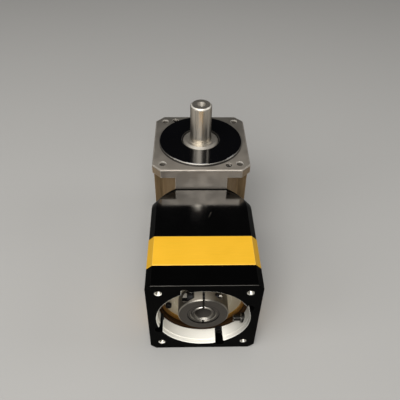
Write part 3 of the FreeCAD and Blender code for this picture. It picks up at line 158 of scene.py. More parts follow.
class ReducerFinishes(bpy.types.PropertyGroup):
    """Colours of the reducer's surfaces."""

    steel: tint("Ground steel", "#9F978C", "Housing, flange and bottom plate")
    # Painted shade: a darker, warmer steel for the hollows under the flange and its cut corners
    steel_hollow_shade: tint("Rough steel", "#8F7858", "Unground walls between the housing's lugs")
    # Partly bare wear and partly a painted highlight on edges; also the colour of other painted highlights
    steel_edge: tint("Steel edges", "#D9D3C8", "Bare steel where edges are broken or rubbed")
    shaft: tint("Shaft steel", "#CFC7BA", "Ground shafts, keys and spacers")
    black: tint("Black anodising", "#030303", "Gear block and motor plate")
    # Partly thinner anodising and partly a painted highlight on the edges
    black_edge: tint("Black edges", "#1C1B1A", "Thin anodising along the black pieces' edges")
    # Painted highlight: the thin bright line along the motor plate's upper front edge
    rubbed: tint("Rubbed edge", "#45433F", "Upper front edge of the motor plate")
    scratch: tint("Scratch", "#7A736A", "Short rubbed line on top of the gear block")
    # Painted shade and reflection: the recess's dark brown stands for its shadow and the gold it mirrors
    recess: tint("Plate recess", "#2C1D0F", "Stained recess behind the motor plate's bore")
    disc: tint("Black disc", "#050506", "Centring disc round the output shaft")
    disc_rim: tint("Disc rim", "#817D76", "Bare metal on the disc's rim and round its hole")
    gold: tint("Gold anodising", "#FFC32B", "Band round the ring gear")
    # Painted shade on the gold band's inner faces
    gold_shade: tint("Gold shadow", "#6E4A18", "Oily inner faces of the gold band")
    # Partly thinner anodising and partly a painted highlight on the edges
    gold_edge: tint("Gold edges", "#FFDE80", "Thin anodising along the gold band's edges")
    aluminium: tint("Bare aluminium", "#FFFBEF", "Bore and tapped holes of the motor plate")
    thread: tint("Bare thread", "#C9C4B8", "Threads in the motor holes")
    cover: tint("Cover aluminium", "#BDB29A", "Input cover behind the clamp collar")
    hub: tint("Hub steel", "#544F49", "Clamp collar")
    hub_wall: tint("Hub wall", "#A8A092", "Clamp collar's ground outer wall")
    # Painted highlight on the clamp's chamfers
    hub_edge: tint("Hub chamfers", "#8A857B", "Chamfers of the clamp collar and its sleeve")
    joint: tint("Oily joint", "#191613", "Thin dark lines where the clamp's pieces meet")
    gear: tint("Gear steel", "#77736E", "Hardened gears and the carrier")
    bearing: tint("Bearing steel", "#C4C2BE", "Bearing rings, rollers and balls")
    bronze: tint("Bronze", "#B98544", "Plain bushes of the planets")
    set_screw: tint("Set screw steel", "#6B665E", "Set screws in the flange")
    plug: tint("Plug steel", "#272522", "Plugs in the motor plate's side holes")
    oxide: tint("Black oxide", "#100F0F", "Cap screws")
    rubber: tint("Nitrile rubber", "#17171A", "Shaft seal and bearing shields")


class ReducerDetails(bpy.types.PropertyGroup):
    """Sizes of the small details."""

    head_round: length_setting("Head rounding", 0.35, "Rounding of the screw heads' upper edges")
    knurl_depth: length_setting("Knurl depth", 0.12, "Depth of the grooves round a screw head")
    thread_pitch: length_setting("Thread pitch", 1.0, "Pitch of the thread in the motor holes")
    thread_depth: length_setting("Thread depth", 0.45, "Height of the thread's ridge in the motor holes")
    thread_length: length_setting("Thread length", 11.0, "Length of the thread in a motor hole")
    knurls: bpy.props.IntProperty(name="Knurls", description="Grooves round a head", default=30, min=0)


class ReducerStage(bpy.types.PropertyGroup):
    """Floor, lamps and camera."""

    floor: tint("Floor", "#A7A5A1", "Pale studio floor")
    backdrop: tint("Backdrop", "#D6D5D2", "What the camera sees past the floor")
    world: tint("Surroundings", "#131314", "Plain light from all round")
    key_power: power_setting("Key light", 13.5, "overhead")
    front_power: power_setting("Front light", 49, "in front")
    left_power: power_setting("Left light", 9, "at the left")
    right_power: power_setting("Right light", 4.5, "at the right")
    lens: bpy.props.FloatProperty(
        name="Lens", description="Focal length for a 36 mm sensor", unit="CAMERA", default=38.789
    )


def add_node(tree, kind, *sources, **named):
    """Adds a shader node and gives its first output in use.

    Sources, which are values or outputs, fill the inputs in use in their order, after the name of the
    operation where a node has one. A name with a capital is an input, with _ for a space, and any other
    name is one of the node's settings.
    """
    node = tree.nodes.new(f"ShaderNode{kind}")
    if hasattr(node, "operation"):
        node.operation, *sources = sources
    for name, setting in named.items():
        if name[0].islower():
            setattr(node, name, setting)
    links = list(zip([socket for socket in node.inputs if socket.enabled], sources))
    links += [(node.inputs[name.replace("_", " ")], named[name]) for name in named if name[0].isupper()]
    for socket, source in links:
        if isinstance(source, bpy.types.NodeSocket):
            tree.links.new(source, socket)
        else:
            socket.default_value = source
    return next((socket for socket in node.outputs if socket.enabled), None)


def new_material(name):
    """An empty material, the function that adds its nodes, and the place as a vector and as parts."""
    material = bpy.data.materials.new(name)
    material.use_nodes = True
    material.node_tree.nodes.clear()
    add = functools.partial(add_node, material.node_tree)
    place = add("TexCoord").node.outputs["Object"]
    return material, add, place, add("SeparateXYZ", place).node.outputs


def finished(material, **links):
    """Ends a material with one Principled shader."""
    tree = material.node_tree
    add_node(tree, "OutputMaterial", add_node(tree, "BsdfPrincipled", **links))
    return material


def per_mm(size):
    """The scale of a texture whose features are size millimetres wide."""
    return 1 / (size * MM)


def scaled(colour, *factors):
    """A colour with its channels multiplied by one factor or by three."""
    factors = factors if len(factors) == 3 else factors * 3
    return tuple(c * k for c, k in zip(colour[:3], factors)) + (1.0,)


def layered(add, base, *layers):
    """A colour or number under others, each of which shows where its mask is 1."""
    number = isinstance(base, float) or getattr(base, "type", None) == "VALUE"
    for mask, layer in layers:
        base = add("Mix", mask, base, layer, data_type="FLOAT" if number else "RGBA")
    return base


def folded_parts(add, vector):
    """The three parts of a vector, without their signs."""
    return add("SeparateXYZ", add("VectorMath", "ABSOLUTE", vector)).node.outputs


def from_axis(add, parts, axis):
    """The place across an axis, its distance from the axis, and the place along it."""
    along, upward = ("Y", "Z") if axis == "input" else ("Z", "Y")
    off_axis = add("Math", "SUBTRACT", parts[upward], AXIS_Z if axis == "input" else 0.0)
    flat = add("CombineXYZ", parts["X"], off_axis)
    return flat, add("VectorMath", "LENGTH", flat), parts[along]


def streaked(add, place, sizes, detail):
    """Noise in streaks, from the size of its features along X, Y and Z in mm.

    Ground and milled lines are drawn a few times as wide as real ones, so that they show.
    """
    scale = tuple(per_mm(size) for size in sizes)
    return add("TexNoise", add("Mapping", place, Scale=scale), Scale=1.0, Detail=detail)


def lathe_rings(add, radius, along, pitch):
    """Noise in rings that follow the radius on faces and the height on walls.

    Real turning marks are about 0.1 mm apart. These are drawn coarser, so that they show.
    """
    level = add("Math", "ADD", radius, along)
    return add("TexNoise", W=level, Scale=per_mm(pitch), Detail=3.0, noise_dimensions="1D")


def lean(add, toward):
    """How far a face leans to a direction, as a cosine."""
    facing = add("NewGeometry").node.outputs["True Normal"]
    return add("VectorMath", "DOT_PRODUCT", facing, toward)


def leaning(add, toward, least):
    """1 on faces that lean to a direction by more than a cosine, and 0 elsewhere."""
    return add("Math", "GREATER_THAN", lean(add, toward), least)


def edge_mask(add, width):
    """1 on edges and 0 on flat faces: how far a normal rounded over some mm leans from the true one."""
    return add("MapRange", lean(add, add("Bevel", width * MM, samples=6)), *EDGE_LEAN, 1.0, 0.0)


def cone_mask(add, axis):
    """1 on cones about an axis, such as chamfers, and 0 on its flat faces and upright walls."""
    size = add("Math", "ABSOLUTE", lean(add, axis))
    # A cone's normal lies 0.65 along the axis, give or take 0.3
    return add("Math", "COMPARE", size, 0.65, 0.3)


def sloping_mask(add):
    """1 on faces that lean between X and Z, and 0 on upright and level ones."""
    parts = folded_parts(add, add("NewGeometry").node.outputs["True Normal"])
    steepest = add("Math", "MAXIMUM", parts["X"], parts["Z"])
    return add("Math", "LESS_THAN", steepest, FACING)


def turned_metal(name, axis, colour, edge, roughness, pitch, metallic=0.9):
    """Metal turned on a lathe: fine rings that follow the radius on faces and the height on walls.

    The eye sees faint circles that break up the highlight, and a brighter line on each edge, partly wear
    and partly a painted highlight.
    """
    material, add, place, parts = new_material(name)
    _, radius, along = from_axis(add, parts, axis)
    rings = lathe_rings(add, radius, along, pitch)
    stain = add("TexNoise", place, Scale=per_mm(9.0), Detail=4.0)
    painted = layered(add, scaled(colour, 0.75), (rings, colour), (edge_mask(add, 0.25), edge))
    rough = add("MapRange", stain, *NOISE, roughness * 0.85, roughness * 1.2)
    bump = add("Bump", Height=rings, Strength=0.5, Distance=0.004 * MM)
    return finished(material, Base_Color=painted, Metallic=metallic, Roughness=rough, Normal=bump)


def polished_disc(name, colour, rim):
    """Black-dyed anodised aluminium, turned and polished: a dark mirror with a rim cut bare afterwards.

    The eye sees the shaft in it, and a thin line of satin metal round its outer edge and round its hole.
    """
    material, add, place, parts = new_material(name)
    _, radius, height = from_axis(add, parts, "output")
    rings = add("TexNoise", W=radius, Scale=per_mm(0.4), noise_dimensions="1D")
    stain = add("TexNoise", place, Scale=per_mm(9.0), Detail=4.0)
    outside = add("Math", "GREATER_THAN", radius, RIM_RADIUS)
    above = add("Math", "GREATER_THAN", height, RIM_HEIGHT)
    slope = add("Math", "MULTIPLY", outside, above)
    hole = add("Math", "LESS_THAN", radius, RIM_HOLE)
    bare = add("Math", "MAXIMUM", slope, hole)
    painted = layered(add, colour, (rings, scaled(colour, 1.6)), (bare, rim))
    rough = layered(add, add("MapRange", stain, *NOISE, 0.06, 0.1), (bare, 0.42))
    metal = add("Math", "MULTIPLY", bare, 0.95)
    bump = add("Bump", Height=rings, Strength=0.5, Distance=0.0005 * MM)
    return finished(material, Base_Color=painted, Metallic=metal, Roughness=rough, Normal=bump, IOR=1.75)


def ground_shaft(name, colour, edge):
    """Steel ground between centres: a bright satin metal with faint streaks along its length.

    The eye sees a bright line on the end's chamfer, a painted highlight above painted shade, and duller
    cones at the centre hole, in painted shade, and the collar.
    """
    material, add, place, parts = new_material(name)
    _, radius, height = from_axis(add, parts, "output")
    streaks = streaked(add, place, (0.9, 0.9, 60.0), 4.0)
    rings = add("TexNoise", W=height, Scale=per_mm(0.35), noise_dimensions="1D")
    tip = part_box("output_shaft")[1].z
    end = add("Math", "GREATER_THAN", height, tip - END_SKIN)
    collar = add("Math", "GREATER_THAN", radius, COLLAR)
    hole = add("Math", "LESS_THAN", radius, CENTRE_HOLE)
    # Painted shade on the end chamfer's lower part and the centre hole's cone, and a painted highlight on
    # the other cones
    lower = add("Math", "LESS_THAN", height, tip - CHAMFER_SHINE)
    shaded_cones = add("Math", "MAXIMUM", lower, hole)
    cones = cone_mask(add, UP)
    painted = layered(
        add, scaled(colour, 0.62),
        (add("MapRange", streaks, *NOISE), colour),
        (end, scaled(colour, 1.2)),
        (edge_mask(add, 0.4), edge),
        (cones, layered(add, edge, (shaded_cones, scaled(colour, 0.5)))),
    )
    satin = add("MapRange", streaks, *NOISE, 0.26, 0.4)
    rough = layered(add, satin, (cones, layered(add, 0.36, (shaded_cones, 0.55))))
    # Cut faces scatter the light more than ground ones
    metal = layered(add, 0.95, (collar, 0.84), (cones, layered(add, 0.45, (shaded_cones, 0.75))))
    bump = add("Bump", Height=rings, Strength=0.4, Distance=0.003 * MM)
    return finished(
        material, Base_Color=painted, Metallic=metal, Roughness=rough, Normal=bump,
        Specular_Tint=(0.1, 0.1, 0.1, 1.0)
    )


def clamp_steel(name, tints):
    """Turned steel of the input clamp: dark faces, a lighter ground wall and chamfers with a painted
    highlight.

    The eye sees fine circles on the faces, dark joints between the pieces and a bright line on each cone,
    a painted highlight.
    """
    material, add, place, parts = new_material(name)
    _, radius, along = from_axis(add, parts, "input")
    rings = lathe_rings(add, radius, along, 0.5)
    stain = add("TexNoise", place, Scale=per_mm(9.0), Detail=4.0)
    front = leaning(add, TO_MOTOR, 0.3)
    skin = layered(add, scaled(tints.hub, 0.72), (rings, tints.hub))
    outside = add("Math", "GREATER_THAN", radius, CLAMP_WALL)
    # Painted shade: the collar's wall darkens towards both sides
    wall = layered(
        add, tints.hub_wall,
        (add("MapRange", parts["X"], *WALL_RIGHT_SHADE), scaled(tints.hub_wall, 0.28, 0.26, 0.22)),
        (add("MapRange", parts["X"], *WALL_SHADE), scaled(tints.hub_wall, 0.12)),
    )
    joints = edge_mask(add, 0.3)
    for ring in (BUSH_OUTSIDE, SLEEVE_OUTSIDE):
        seam = add("Math", "COMPARE", radius, ring, HALF_JOINT)
        joints = add("Math", "MAXIMUM", joints, seam)
    # Painted shade: the clamp screw's seat, left of its head, is painted the screw's black oxide and
    # reflects little
    low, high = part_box("clamp_screw")
    beside = add("VectorMath", "SUBTRACT", place, (low + high) / 2)
    beside = add("VectorMath", "MULTIPLY", beside, (0.0, 1.0, 1.0))
    reach = add("VectorMath", "LENGTH", beside)
    near = add("Math", "LESS_THAN", reach, HEAD_SEAT)
    seat = add("Math", "MULTIPLY", near, add("MapRange", parts["X"], *SEAT_SIDE))
    # The bush's front is a rounded nose in the bump, with a painted highlight that shows above and below
    # its crest
    from_crest = add("Math", "SUBTRACT", radius, NOSE_CREST)
    off_crest = add("Math", "ABSOLUTE", from_crest)
    rise = add("MapRange", off_crest, 0.0, HALF_NOSE, HALF_NOSE, 0.0)
    rounded = add("Bump", Height=rise, Strength=1.0, Distance=1.0)
    nose_highlight = add("Math", "LESS_THAN", off_crest, HALF_NOSE)
    sideways = add("Math", "ABSOLUTE", parts["X"])
    # Painted highlight: the nose's shine fades out towards its sides
    rubbed = add("MapRange", sideways, *NOSE_SHINE, 1.0, 0.1)
    nose_highlight = add("Math", "MULTIPLY", nose_highlight, rubbed)
    painted = layered(
        add, layered(add, skin, (outside, wall)),
        (front, skin),
        (joints, tints.joint),
        (seat, tints.oxide),
        # Painted highlight on the cones
        (cone_mask(add, TO_MOTOR), tints.hub_edge),
        (nose_highlight, tints.steel_edge),
    )
    return finished(
        material,
        Base_Color=painted,
        Metallic=layered(add, 0.35, (front, 0.9), (seat, 0.0)),
        Roughness=add("MapRange", stain, *NOISE, 0.3, 0.42),
        Normal=add("Bump", Height=rings, Strength=0.5, Distance=0.004 * MM, Normal=rounded),
        Specular_IOR_Level=layered(add, 0.5, (seat, 0.05)),
    )


def ground_metal(name, colour, edge, roughness, wall=None):
    """Steel ground on a surface grinder: fine straight lines, warm blotches and bright broken edges, whose
    brightness is partly a painted highlight.

    Where a wall colour is given, it paints a darker, warmer shade into the hollows between the housing's
    lugs and onto the flange's cut corners.
    """
    material, add, place, parts = new_material(name)
    facing = folded_parts(add, add("NewGeometry").node.outputs["True Normal"])
    is_side = add("Math", "GREATER_THAN", facing["X"], 0.8)
    fine, long = 0.3, 16.0
    grain = layered(
        add, streaked(add, place, (long, fine, fine), 3.0),
        (is_side, streaked(add, place, (fine, long, fine), 3.0)),
    )
    stain = add("TexNoise", place, Scale=per_mm(14.0), Detail=5.0)
    mottled = layered(add, scaled(colour, 0.74, 0.70, 0.64), (stain, colour))
    body = layered(add, scaled(colour, 0.8), (grain, mottled))
    if wall:
        # Rough-milled upright streaks in the painted shade, drawn about twice as wide as real ones so that
        # they show
        streaks = add("MapRange", streaked(add, place, (1.1, 1.1, 30.0), 3.0), *NOISE)
        hollow_shade = layered(add, scaled(wall, 0.68, 0.64, 0.58), (streaks, wall))
        # Painted shade: the flange's top is darker towards the back, and the front face darker all over
        # and most at the left
        top = layered(
            add, scaled(colour, 0.92),
            (add("MapRange", parts["Y"], *TOP_SHADE), scaled(colour, 0.36, 0.38, 0.39)),
            (add("MapRange", grain, *NOISE, 0.05, 0.4), mottled),
        )
        front = layered(
            add, scaled(colour, 0.4),
            (add("MapRange", parts["X"], *FRONT_SHADE), scaled(colour, 0.7)),
            (add("MapRange", grain, *NOISE, 0.0, 0.35), mottled),
        )
        foremost = add("Math", "LESS_THAN", parts["Y"], SEAM + FRONT_SKIN)
        top_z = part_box("output_housing")[1].z
        # The front edge's chamfer leaves a thin shadow below it
        shadow = add("Math", "COMPARE", parts["Z"], top_z - EDGE_SHADOW, HALF_SHADOW)
        # Light reaches only the first millimetre or so of the bolt holes
        lip = add("Math", "GREATER_THAN", parts["Z"], top_z - HOLE_LIP)
        body = layered(
            add, body,
            # Painted shade: the hollows under the flange and its cut corners are darker and warmer
            (hollow_mask(add, place), hollow_shade),
            (slanting_mask(add, facing), hollow_shade),
            (leaning(add, UP, FACING), top),
            (foremost, front),
            (shadow, scaled(colour, 0.45)),
            (hole_mask(add, place), layered(add, scaled(colour, 0.6), (lip, edge))),
        )
    # Lighter edges: partly worn bare and partly a painted highlight
    bright_edge = edge_mask(add, 0.35)
    # Edges were broken by hand, so the light rolls over about half a millimetre of them
    rounded = add("Bevel", 0.55 * MM, samples=8)
    return finished(
        material,
        Base_Color=layered(add, body, (bright_edge, edge)),
        Metallic=layered(add, 0.7, (bright_edge, 0.2)),
        Roughness=add("MapRange", stain, *NOISE, roughness * 0.8, roughness * 1.25),
        Normal=add("Bump", Height=grain, Strength=0.35, Distance=0.006 * MM, Normal=rounded),
    )


def hollow_mask(add, place):
    """1 in the four corners between the lugs, below the flange, and 0 elsewhere."""
    parts = folded_parts(add, place)
    nearest = add("Math", "MINIMUM", parts["X"], parts["Y"])
    lowest = add("Math", "SUBTRACT", parts["Z"], FLANGE - HALF_LUG)
    both = add("Math", "MINIMUM", nearest, lowest)
    return add("Math", "GREATER_THAN", both, HALF_LUG)


def slanting_mask(add, facing):
    """0.7 on the flange's cut corners, whose upright faces lean between X and Y, and 0 elsewhere."""
    between = add("Math", "MINIMUM", facing["X"], facing["Y"])
    upright = add("Math", "LESS_THAN", facing["Z"], 0.2)
    corner = add("MapRange", between, 0.5, 0.7, 0.0, 0.7)
    return add("Math", "MULTIPLY", corner, upright)


def bolt_shift(mount):
    """How far a mount's four holes lie from its axis, the same across and up."""
    return MOUNTS[mount]["dims"]["pcd_mm"] * MM / 2 / math.sqrt(2)


def near_bolt(add, place, mount, reach):
    """1 within reach of a mount's four hole axes, from the place across its axis, and 0 elsewhere."""
    folded = add("VectorMath", "ABSOLUTE", place)
    hole = (bolt_shift(mount), bolt_shift(mount), 0.0)
    return add("Math", "LESS_THAN", add("VectorMath", "DISTANCE", folded, hole), reach)


def hole_mask(add, place):
    """1 on the walls of the flange's four bolt holes and 0 elsewhere."""
    level = add("VectorMath", "MULTIPLY", place, (1.0, 1.0, 0.0))
    return near_bolt(add, level, "output_bolts", (MOUNTS["output_bolts"]["dims"]["hole_r_mm"] + 0.12) * MM)


def anodised_nodes(add, place, colour, edge, roughness, grain_mm, width):
    """Colour, roughness and bump of an anodised face: a fine milled grain, stains and edges lightened by
    thinner anodising and a painted highlight.
    """
    long, fine = grain_mm
    grain = streaked(add, place, (long, fine, fine), 4.0)
    stain = add("TexNoise", place, Scale=per_mm(22.0), Detail=5.0)
    painted = layered(add, scaled(colour, 0.86), (grain, colour), (edge_mask(add, width), edge))
    rough = add("MapRange", stain, *NOISE, roughness * 0.8, roughness * 1.3)
    return painted, rough, add("Bump", Height=grain, Strength=0.25, Distance=0.003 * MM)


def gold_anodised(name, tints):
    """Gold-dyed anodised aluminium, milled: a satin metal with grain across the band."""
    material, add, place, parts = new_material(name)
    gold = tints.gold
    painted, rough, normal = anodised_nodes(add, place, gold, tints.gold_edge, 0.45, (12.0, 0.35), 0.45)
    _, radius, _ = from_axis(add, parts, "input")
    within = add("Math", "LESS_THAN", radius, BAND_INSIDE)
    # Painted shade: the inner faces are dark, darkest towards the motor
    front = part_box("ring_housing")[0].y
    less_shade = add("MapRange", parts["Y"], front, front + BAND_SHADE)
    painted = layered(
        add, painted,
        # Painted shade: the slopes are darker
        (sloping_mask(add), scaled(gold, 0.72)),
        (within, layered(add, tints.gold_shade, (less_shade, scaled(gold, 0.6)))),
    )
    return finished(material, Base_Color=painted, Metallic=0.3, Roughness=rough, Normal=normal)


def hairline(add, place):
    """1 along one short line, as wide as a real scratch is, and 0 elsewhere."""
    turned = {"Location": SCRATCH_PLACE, "Rotation": (0.0, 0.0, SCRATCH_TURN), "vector_type": "TEXTURE"}
    parts = folded_parts(add, add("Mapping", place, **turned))
    short = add("Math", "LESS_THAN", parts["X"], SCRATCH_HALF[0])
    thin = add("Math", "LESS_THAN", parts["Y"], SCRATCH_HALF[1])
    return add("Math", "MULTIPLY", short, thin)


def polished_black(name, tints):
    """Black-dyed anodised aluminium, polished: a dark mirror that shows the steel behind it."""
    material, add, place, parts = new_material(name)
    skin = anodised_nodes(add, place, tints.black, tints.black_edge, 0.12, (30.0, 0.6), 0.2)
    painted, rough, normal = skin
    on_top = leaning(add, UP, FACING)
    scratch = add("Math", "MULTIPLY", hairline(add, place), on_top)
    # The slopes were cut after polishing, so they are duller than the faces; a strip along the seam is
    # duller too, so it shows as a thin dark line
    strip = add("Math", "GREATER_THAN", parts["Y"], SEAM - NECK)
    dull = add("Math", "MAXIMUM", sloping_mask(add), strip)
    # Handling has dulled the top's polish away from the seam, and the other faces all over
    fading = add("MapRange", parts["Y"], *POLISH_FADE, 0.58, 0.17, interpolation_type="SMOOTHSTEP")
    return finished(
        material,
        Base_Color=layered(add, painted, (scratch, tints.scratch)),
        IOR=3.2,
        Roughness=layered(add, rough, (dull, 0.45)),
        Normal=normal,
        Specular_IOR_Level=layered(add, 0.12, (on_top, fading), (dull, 0.012)),
    )


def black_anodised(name, tints):
    """Black-dyed anodised aluminium, blasted: a deep satin black, bare and turned inside the motor bore.

    A painted highlight along its upper front edge shows as one thin bright line.
    """
    material, add, place, parts = new_material(name)
    skin = anodised_nodes(add, place, tints.black, tints.black_edge, 0.4, (30.0, 0.6), 0.2)
    painted, rough, normal = skin
    bare = tints.aluminium
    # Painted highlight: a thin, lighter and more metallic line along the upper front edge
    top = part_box("motor_adapter")[1].z - SHINE_DEPTH
    high = add("Math", "GREATER_THAN", parts["Z"], top)
    rubbed = add("Math", "MULTIPLY", leaning(add, (0.0, -0.7071, 0.7071), 0.93), high)
    flat, radius, along = from_axis(add, parts, "input")
    within = add("Math", "LESS_THAN", radius, BARE_BORE)
    # The recess behind the turned bore kept its black skin
    outer = add("Math", "LESS_THAN", along, MOTOR_FACE + BARE_DEPTH)
    bore = add("Math", "MULTIPLY", within, outer)
    mask = add("Math", "MAXIMUM", bore, near_bolt(add, flat, "motor_bolts", BARE_MOUTH))
    rings = add("TexNoise", W=along, Scale=per_mm(0.5), noise_dimensions="1D")
    # Painted shade: the bare bore darkens towards its right side
    right = add("MapRange", parts["X"], *BORE_SHADE)
    bright = layered(add, scaled(bare, 0.88), (rings, bare), (right, scaled(bare, 0.25)))
    # Painted shade and reflection: the recess behind the bore is dark brown
    deep = add("Math", "SUBTRACT", within, bore)
    bright_edge = add("Math", "MULTIPLY", rubbed, 0.85)
    return finished(
        material,
        Base_Color=layered(add, painted, (rubbed, tints.rubbed), (deep, tints.recess), (mask, bright)),
        Metallic=layered(add, bright_edge, (mask, 0.05)),
        Roughness=layered(add, rough, (mask, 0.42)),
        Normal=normal,
        Specular_IOR_Level=layered(add, 0.015, (mask, 0.5)),
    )


def soft_black(name, colour, roughness, size, gloss=0.5):
    """A matt black skin, such as nitrile rubber or black oxide: dull, and finely pebbled.

    The pebbles are drawn coarser than real ones, so that they show.
    """
    material, add, place, _ = new_material(name)
    grit = add("TexNoise", place, Scale=per_mm(size), Detail=4.0)
    painted = layered(add, colour, (grit, scaled(colour, 1.8)))
    rough = add("MapRange", grit, *NOISE, roughness * 0.85, roughness * 1.15)
    bump = add("Bump", Height=grit, Strength=0.3, Distance=0.01 * MM)
    return finished(material, Base_Color=painted, Roughness=rough, Normal=bump, Specular_IOR_Level=gloss)


def dress(material, *names):
    """Gives CAD nodes a material in every slot."""
    for name in names:
        thing = frame["nodes"][name]
        if not thing.material_slots:
            thing.data.materials.append(material)
        for slot in thing.material_slots:
            slot.material = material


def grid_faces(rows, columns, first):
    """Four-sided faces between neighbouring rows of a grid whose columns close into a ring."""
    index = first + np.arange(rows * columns).reshape(rows, columns)
    ahead = np.roll(index, -1, axis=1)
    return np.stack([index[:-1], ahead[:-1], ahead[1:], index[1:]], axis=-1).reshape(-1, 4)


def make_piece(name, grids, material, body, slot, *nodes):
    """One mesh from closed grids of points, with poles merged and faces outwards, riding on a body."""
    points, faces, first = [], [], 0
    for grid in grids:
        rows, columns, _ = grid.shape
        faces.append(grid_faces(rows, columns, first))
        points.append(grid.reshape(-1, 3))
        first += rows * columns
    mesh = bpy.data.meshes.new(name)
    mesh.from_pydata(np.concatenate(points).tolist(), [], np.concatenate(faces).tolist())
    shell = bmesh.new()
    shell.from_mesh(mesh)
    bmesh.ops.remove_doubles(shell, verts=shell.verts, dist=1e-7)
    bmesh.ops.dissolve_degenerate(shell, edges=shell.edges, dist=1e-8)
    bmesh.ops.recalc_face_normals(shell, faces=shell.faces)
    shell.to_mesh(mesh)
    shell.free()
    mesh.polygons.foreach_set("use_smooth", np.ones(len(mesh.polygons), bool))
    mesh.set_sharp_from_angle(angle=math.radians(32))
    mesh.materials.append(material)
    thing = bpy.data.objects.new(name, mesh)
    bpy.context.scene.collection.objects.link(thing)
    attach(thing, body)
    if nodes:
        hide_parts(*nodes)


def spun_grid(rows, angles):
    """A turned surface: each row is a radius, one number or one per angle, carried round at a height."""
    radius = np.stack([np.broadcast_to(r, angles.shape) for r, _ in rows])
    height = np.broadcast_to(np.array([h for _, h in rows])[:, None], radius.shape)
    return np.stack([radius * np.cos(angles), radius * np.sin(angles), height], axis=-1)


def placed(grid, turn, place):
    """A grid turned by a matrix and moved to a place."""
    return grid @ turn.T + np.asarray(place)


def hexagon(angles, corner):
    """Radius of a hexagon along each angle: its flat's distance over the cosine from the flat's middle."""
    sector = math.pi / 3
    return corner * math.cos(sector / 2) / np.cos((angles + sector / 2) % sector - sector / 2)


def arc_rows(radius, height, rounding, steps):
    """Rows round an upper outer edge: a quarter circle from the flat top to the upright side."""
    turn = np.linspace(0, math.pi / 2, steps)
    across, upward = radius - rounding, height - rounding
    return [(across + rounding * math.sin(t), upward + rounding * math.cos(t)) for t in turn]


# A cap screw in mm: radius of its thread, radius and height of its head, length below the head, and
# radius of its socket's corners
CapScrew = collections.namedtuple("CapScrew", "radius head rise length socket")


def screw_grid(screw, details):
    """A cap screw about its own axis, head standing on height 0 and shank below.

    The socket is a hexagon with a chamfered mouth, the head's upper edge a quarter circle, and the
    head's side a circle whose radius dips once per knurl.
    """
    radius, head, rise, length, socket = screw
    angles = np.linspace(0, TURN, 120, endpoint=False)
    depth = rise * 0.55
    wall = hexagon(angles, socket)
    chamfer = 0.12 * radius
    knurl = head - details.knurl_depth / MM * (0.5 + 0.5 * np.cos(details.knurls * angles))
    rounding = details.head_round / MM
    rows = [(0.0, rise - depth - 0.25 * socket), (wall * 0.98, rise - depth), (wall, rise - chamfer)]
    rows += [(wall + chamfer, rise)] + arc_rows(head, rise, rounding, 4)
    rows += [(knurl, rise - rounding - 0.15), (knurl, 0.25), (head, 0.1), (head - 0.15, 0.0)]
    rows += [(radius, 0.0), (radius, -length + 0.3 * radius), (0.7 * radius, -length), (0.0, -length)]
    return spun_grid(rows, angles) * MM


def circle_places(diameter, count, start):
    """Places round a circle, as x and y in metres, from a diameter in mm and a first angle in degrees."""
    angles = np.radians(start + 360 / count * np.arange(count))
    return np.stack([np.cos(angles), np.sin(angles)], axis=-1) * diameter * MM / 2


def on_input(x, y, height):
    """A place on the input line: x across, y up from the axis, height from the output axis, in metres."""
    return np.array([x, -height, y + AXIS_Z])


class REDUCER_OT_housing(bpy.types.Operator):
    """Gives the steel housing and its bottom plate a ground finish"""

    bl_idname = "reducer.housing"
    bl_label = "Steel housing"

    def execute(self, context):
        tints = context.scene.reducer_finishes
        steel = ground_metal("ground_steel", tints.steel, tints.steel_edge, 0.5, tints.steel_hollow_shade)
        dress(steel, "output_housing", "bottom_cover")
        return {"FINISHED"}


class REDUCER_OT_disc(bpy.types.Operator):
    """Gives the centring disc a polished black finish with a bare rim, and the seal a rubber one"""

    bl_idname = "reducer.disc"
    bl_label = "Centring disc and seal"

    def execute(self, context):
        tints = context.scene.reducer_finishes
        dress(polished_disc("black_anodised_disc", tints.disc, tints.disc_rim), "output_cover")
        dress(soft_black("nitrile_rubber", tints.rubber, 0.6, 0.3), "output_seal", "input_bearing_seals")
        return {"FINISHED"}


class REDUCER_OT_shafts(bpy.types.Operator):
    """Gives the ground shafts, spacers, keys and retaining rings a bright turned finish"""

    bl_idname = "reducer.shafts"
    bl_label = "Shafts and spacers"

    def execute(self, context):
        tints = context.scene.reducer_finishes
        dress(ground_shaft("ground_shaft_steel", tints.shaft, tints.steel_edge), "output_shaft")
        for axis, names in (
            ("output", ("gear_key", "gear_spacer", "gear_retaining_ring")),
            ("input", ("inner_spacer", "outer_spacer", "bearing_retaining_ring", "carrier_key",
                       "carrier_washer", "carrier_front_plate", "planet_pins")),
        ):
            steel = turned_metal(f"turned_steel_{axis}", axis, tints.shaft, tints.steel_edge, 0.3, 0.35)
            dress(steel, *names)
        return {"FINISHED"}


class REDUCER_OT_block(bpy.types.Operator):
    """Gives the gear block a polished black finish and the motor plate a blasted one, bare in its bore"""

    bl_idname = "reducer.block"
    bl_label = "Black block and motor plate"

    def execute(self, context):
        tints = context.scene.reducer_finishes
        dress(polished_black("polished_black", tints), "pinion_housing")
        dress(black_anodised("black_anodised", tints), "motor_adapter")
        return {"FINISHED"}


class REDUCER_OT_band(bpy.types.Operator):
    """Gives the ring gear's band a satin gold finish"""

    bl_idname = "reducer.band"
    bl_label = "Gold band"

    def execute(self, context):
        dress(gold_anodised("gold_anodised", context.scene.reducer_finishes), "ring_housing")
        return {"FINISHED"}


